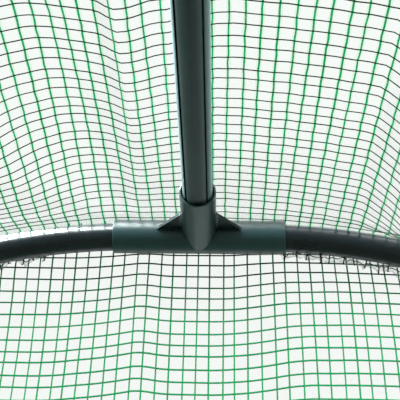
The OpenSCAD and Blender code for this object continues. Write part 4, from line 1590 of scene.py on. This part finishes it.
for side, side_name in SIDES:
    place = (side * 0.260, -(OUTSIDE + 0.0008), DOOR_TOP + 0.008)
    strap(place, X_AXIS, FRONT, f"door_tie_{side_name}")
    for end, end_name in ENDS:
        for offset, letter in ((-0.170, "a"), (0.170, "b")):
            place = (side * (OUTSIDE + 0.0008), end * BAY + offset, WIN_TOP + 0.034)
            strap(place, Y_AXIS, side * X_AXIS, f"{end_name}_{side_name}_window_tie_{letter}")


# ---------------------------------------------------------------- bands round the tubes
def wrap_band(name, centre, axis, start):
    """A band wound a little over once round a tube, its free end lying on top of itself."""
    axis = unit(np.array(axis, float))
    start = np.array(start, float)
    start = unit(start - axis * np.dot(start, axis))
    angle = np.linspace(0, 2 * np.pi * 1.17, 58)
    radius = 0.01285 + 0.0012 * smooth(angle, 5.6, 7.0) + 0.0004 * smooth(angle, 6.9, 7.35)
    outward = np.outer(np.cos(angle), start) + np.outer(np.sin(angle), np.cross(axis, start))
    path = np.array(centre, float) + radius[:, None] * outward
    ribbon(name, path, axis, outward, 0.022, M_HOOK, ("frame_ties",), thick=0.0009, cols=3)


slope_x, slope_z = (CROWN_END + EAVE_START) / 2
for y, end_name in ((-HOOP_GAP, "front"), (0.0, "middle"), (HOOP_GAP, "rear")):
    for side, side_name in SIDES:
        name = f"tie_{end_name}_{side_name}"
        down_slope = (side * math.cos(SLOPE), 0, -math.sin(SLOPE))
        inward = (0, -1 if y >= 0 else 1, 0.1)
        wrap_band(name + "_slope", (side * slope_x, y, slope_z), down_slope, inward)
        wrap_band(name + "_leg", (side * HOOP_X, y, 0.640), (0, 0, 1), (-side, 0.2, 0))
for end, end_name in ENDS:
    y = end * BAY
    for side, side_name in SIDES:
        name = f"tie_{end_name}_{side_name}_waist"
        wrap_band(name, (side * HOOP_X, y, WAIST_Z), (0, 1, 0), (-side, 0, 0.3))
    wrap_band(f"tie_{end_name}_ridge", (0, y, RIDGE_Z), (0, 1, 0), (0.2, 0, -1))

# ---------------------------------------------------------------- skirt on the ground
SKIRT = 0.120
SKIRT_NODE = ("ground_skirt",)
SKIRT_LOW = 0.0009  # height of the skirt where it lies flat
PEG_OUT = OUTSIDE + 0.001 + SKIRT / 2
PEGS = [(side * PEG_OUT, y) for side in (-1, 1) for y in (-0.9, 0.0, 0.9)]
PEGS += [(-0.5, PEG_OUT), (0.5, PEG_OUT)]


def skirt_points(along, out, axis, side, lift=0.0):
    """Points of a skirt that runs along axis; it lies flat round the pegs."""

    def spot(gap):
        reach = side * (OUTSIDE + gap + out)
        return (reach, along) if axis == "y" else (along, reach)

    wave = 0.0016 + 0.0016 * np.sin(along * 21 + out * 8)
    wave = np.maximum(wave + 0.0012 * np.sin(along * 47 - out * 20 + 1.1), 0)
    z = SKIRT_LOW + wave * smooth(out, 0.0, 0.03) * smooth(SKIRT - out, -0.01, 0.05)
    x, y = spot(0.001)
    for peg_x, peg_y in PEGS:
        free = smooth(np.hypot(x - peg_x, y - peg_y), 0.006, 0.035)
        z = z * free + SKIRT_LOW * (1 - free)
    return points(*spot(0.0003), z + lift)


def skirt_run(name, axis, start, end, side):
    along = np.linspace(start, end, max(4, int((end - start) / 0.018)))
    grid = skirt_points(along[:, None], np.linspace(0.0, SKIRT, 9), axis, side)
    sheet(name + "_film", grid, Z_AXIS, M_FILM, SKIRT_NODE)
    columns = np.arange(start + 0.004, end - 0.002, PITCH_UPRIGHT)[:, None]
    path = skirt_points(columns, np.linspace(0.001, SKIRT - 0.001, 9), axis, side)
    shape = lay_threads(path, Z_AXIS, 0.0014, 0.0006)
    thread_pieces(name + "_threads_out", [shape], M_UPRIGHT, SKIRT_NODE)
    rows = np.arange(0.006, SKIRT - 0.003, PITCH_LEVEL)[:, None]
    path = skirt_points(np.linspace(start + 0.001, end - 0.001, len(along)), rows, axis, side)
    shape = lay_threads(path, Z_AXIS, 0.0013, 0.0006)
    thread_pieces(name + "_threads_along", [shape], M_LEVEL, SKIRT_NODE)
    path = skirt_points(along, SKIRT - 0.006, axis, side, lift=0.0006)
    sideways = X_AXIS if axis == "y" else Y_AXIS
    ribbon(name + "_hem", path, sideways, Z_AXIS, 0.012, M_BIND, SKIRT_NODE, thick=0.0007)


def eyelets():
    angle = np.linspace(0, 2 * np.pi, 29)[:-1]
    ring_x, ring_y = 0.0068 * np.cos(angle), 0.0068 * np.sin(angle)
    rings = [
        round_bar(points(x + ring_x, y + ring_y, 0.0017), 0.0016, 8, closed=True)
        for x, y in PEGS
    ]
    make("skirt_eyelets", *join(rings), M_PEG, SKIRT_NODE)


def bottom_hems():
    """Binding along the foot of the sides and walls."""
    y = np.linspace(-WALL_Y + 0.002, WALL_Y - 0.002, 60)
    for side, name in SIDES:
        path = points(side * (OUTSIDE + 0.0003), y, 0.014)
        ribbon(f"hem_{name}", path, Z_AXIS, side * X_AXIS, 0.022, M_BIND, ROOF, thick=0.0005)
    for start, end, side, name, node in (
        (-0.995, 0.995, 1, "rear", "rear_wall"),
        (-0.995, -0.524, -1, "front_left", "front_wall"),
        (0.524, 0.995, -1, "front_right", "front_wall"),
    ):
        path = points(np.linspace(start, end, 50), side * (OUTSIDE + 0.0003), 0.014)
        ribbon(f"hem_{name}", path, Z_AXIS, side * Y_AXIS, 0.022, M_BIND, (node,), thick=0.0005)


SIDE_RUN, END_RUN = OUTSIDE + 0.121, OUTSIDE - 0.0005
for name, axis, start, end, side in (
    ("skirt_left", "y", -SIDE_RUN, SIDE_RUN, -1),
    ("skirt_right", "y", -SIDE_RUN, SIDE_RUN, 1),
    ("skirt_rear", "x", -END_RUN, END_RUN, 1),
    ("skirt_front_left", "x", -END_RUN, -(DOOR_HALF + 0.020), -1),
    ("skirt_front_right", "x", DOOR_HALF + 0.020, END_RUN, -1),
):
    skirt_run(name, axis, start, end, side)
eyelets()
bottom_hems()

# ---------------------------------------------------------------- stage, light and camera
scene.view_settings.view_transform = "Standard"
scene.cycles.transparent_max_bounces = 32


def add_object(name, data):
    made = bpy.data.objects.new(name, data)
    scene.collection.objects.link(made)
    return made


def floor_material():
    """Pale to the camera, darker to every other ray."""
    m = Surface("pale_floor")
    stops = [(0.3, (0.70, 0.70, 0.69)), (0.7, (0.74, 0.74, 0.73))]
    colour = m.ramp(m.noise(scale=0.8, detail=3.0), stops)
    pale = m.socket("BsdfPrincipled", {"Base Color": colour, "Roughness": 0.85})
    quiet = m.bsdf("Diffuse", (0.30, 0.30, 0.30, 1))
    return m.done(m.mix(m.socket("LightPath", out="Is Camera Ray"), quiet, pale))


def add_floor(half=14.0, z=-0.001):
    mesh = bpy.data.meshes.new("floor")
    corners = [(-half, -half, z), (half, -half, z), (half, half, z), (-half, half, z)]
    mesh.from_pydata(corners, [], [(0, 1, 2, 3)])
    floor = add_object("floor", mesh)
    mesh.materials.append(floor_material())


def add_world():
    """A pale sky that lights from above, and a plain near-white one for the camera."""
    world = bpy.data.worlds.new("studio")
    scene.world = world
    world.use_nodes = True
    w = Nodes(world.node_tree)
    direction = w.socket("TexCoord", out="Generated")
    height = w.socket("SeparateXYZ", {"Vector": direction}, "Z")
    sky = w.ramp(height, [(0.0, (0.60, 0.62, 0.64)), (0.85, (1.0, 1.0, 1.0))])
    light = w.socket("Background", {"Color": sky, "Strength": 1.35})
    seen = w.socket("Background", {"Color": (0.985, 0.975, 0.975, 1), "Strength": 1.03})
    shader = w.mix(w.socket("LightPath", out="Is Camera Ray"), light, seen)
    w.node("OutputWorld", {"Surface": shader})


def add_sun():
    sun = bpy.data.lights.new("soft_key", "SUN")
    sun.energy = 0.8
    sun.angle = math.radians(30)
    towards = Vector((0.45, -0.55, 1.1))
    add_object("soft_key", sun).matrix_world = towards.to_track_quat("Z", "Y").to_matrix().to_4x4()


def add_area(name, power, width, depth, place, aim, receivers):
    """A soft light that falls on the receivers alone."""
    light = bpy.data.lights.new(name, "AREA")
    light.color = (0.90, 0.95, 1.0)
    light.shape = "RECTANGLE"
    light.size = width
    light.size_y = depth
    light.energy = power
    made = bpy.data.objects.new(name, light)
    place = Vector(place)
    turn = (place - Vector(aim)).to_track_quat("Z", "Y").to_matrix().to_4x4()
    made.matrix_world = Matrix.Translation(place) @ turn
    scene.collection.objects.link(made)
    made.visible_camera = False
    made.light_linking.receiver_collection = receivers


def add_frame_lights():
    frame_parts = bpy.data.collections.new("frame_parts")
    for name, part in CAD.items():
        if name.endswith(CONNECTORS + HOOP_TUBES + LONG_TUBES):
            frame_parts.objects.link(part)
    add_area(
        "sky_over_frame", power=540.0, width=2.7, depth=1.1,
        place=(-1.0, 0.45, 3.6), aim=(0, 0.75, 1.9), receivers=frame_parts,
    )
    add_area(
        "glow_behind_frame", power=7.5, width=2.2, depth=1.0,
        place=(0.5, 2.6, 0.9), aim=(0, 0.95, 1.95), receivers=frame_parts,
    )


def add_camera():
    """Inside the house, looking up at the rear end of the ridge."""
    data = bpy.data.cameras.new("camera")
    data.lens = 72.42
    data.sensor_width = 36.0
    data.clip_start = 0.01
    data.clip_end = 60
    camera = add_object("camera", data)
    yaw, tilt, roll = math.radians(-1.86), math.radians(32.62), math.radians(1.41)
    forward = Vector(
        (math.sin(yaw) * math.cos(tilt), math.cos(yaw) * math.cos(tilt), math.sin(tilt))
    )
    right = Vector((math.cos(yaw), -math.sin(yaw), 0))
    up = right.cross(forward)
    rolled_right = math.cos(roll) * right + math.sin(roll) * up
    rolled_up = -math.sin(roll) * right + math.cos(roll) * up
    turn = Matrix((rolled_right, rolled_up, -forward)).transposed()
    place = Vector((0, HOOP_GAP, RIDGE_Z)) + Vector((0.0204, -0.6354, -0.3668))
    camera.matrix_world = Matrix.Translation(place) @ turn.to_4x4()
    scene.camera = camera


add_floor()
add_world()
add_sun()
add_frame_lights()
add_camera()
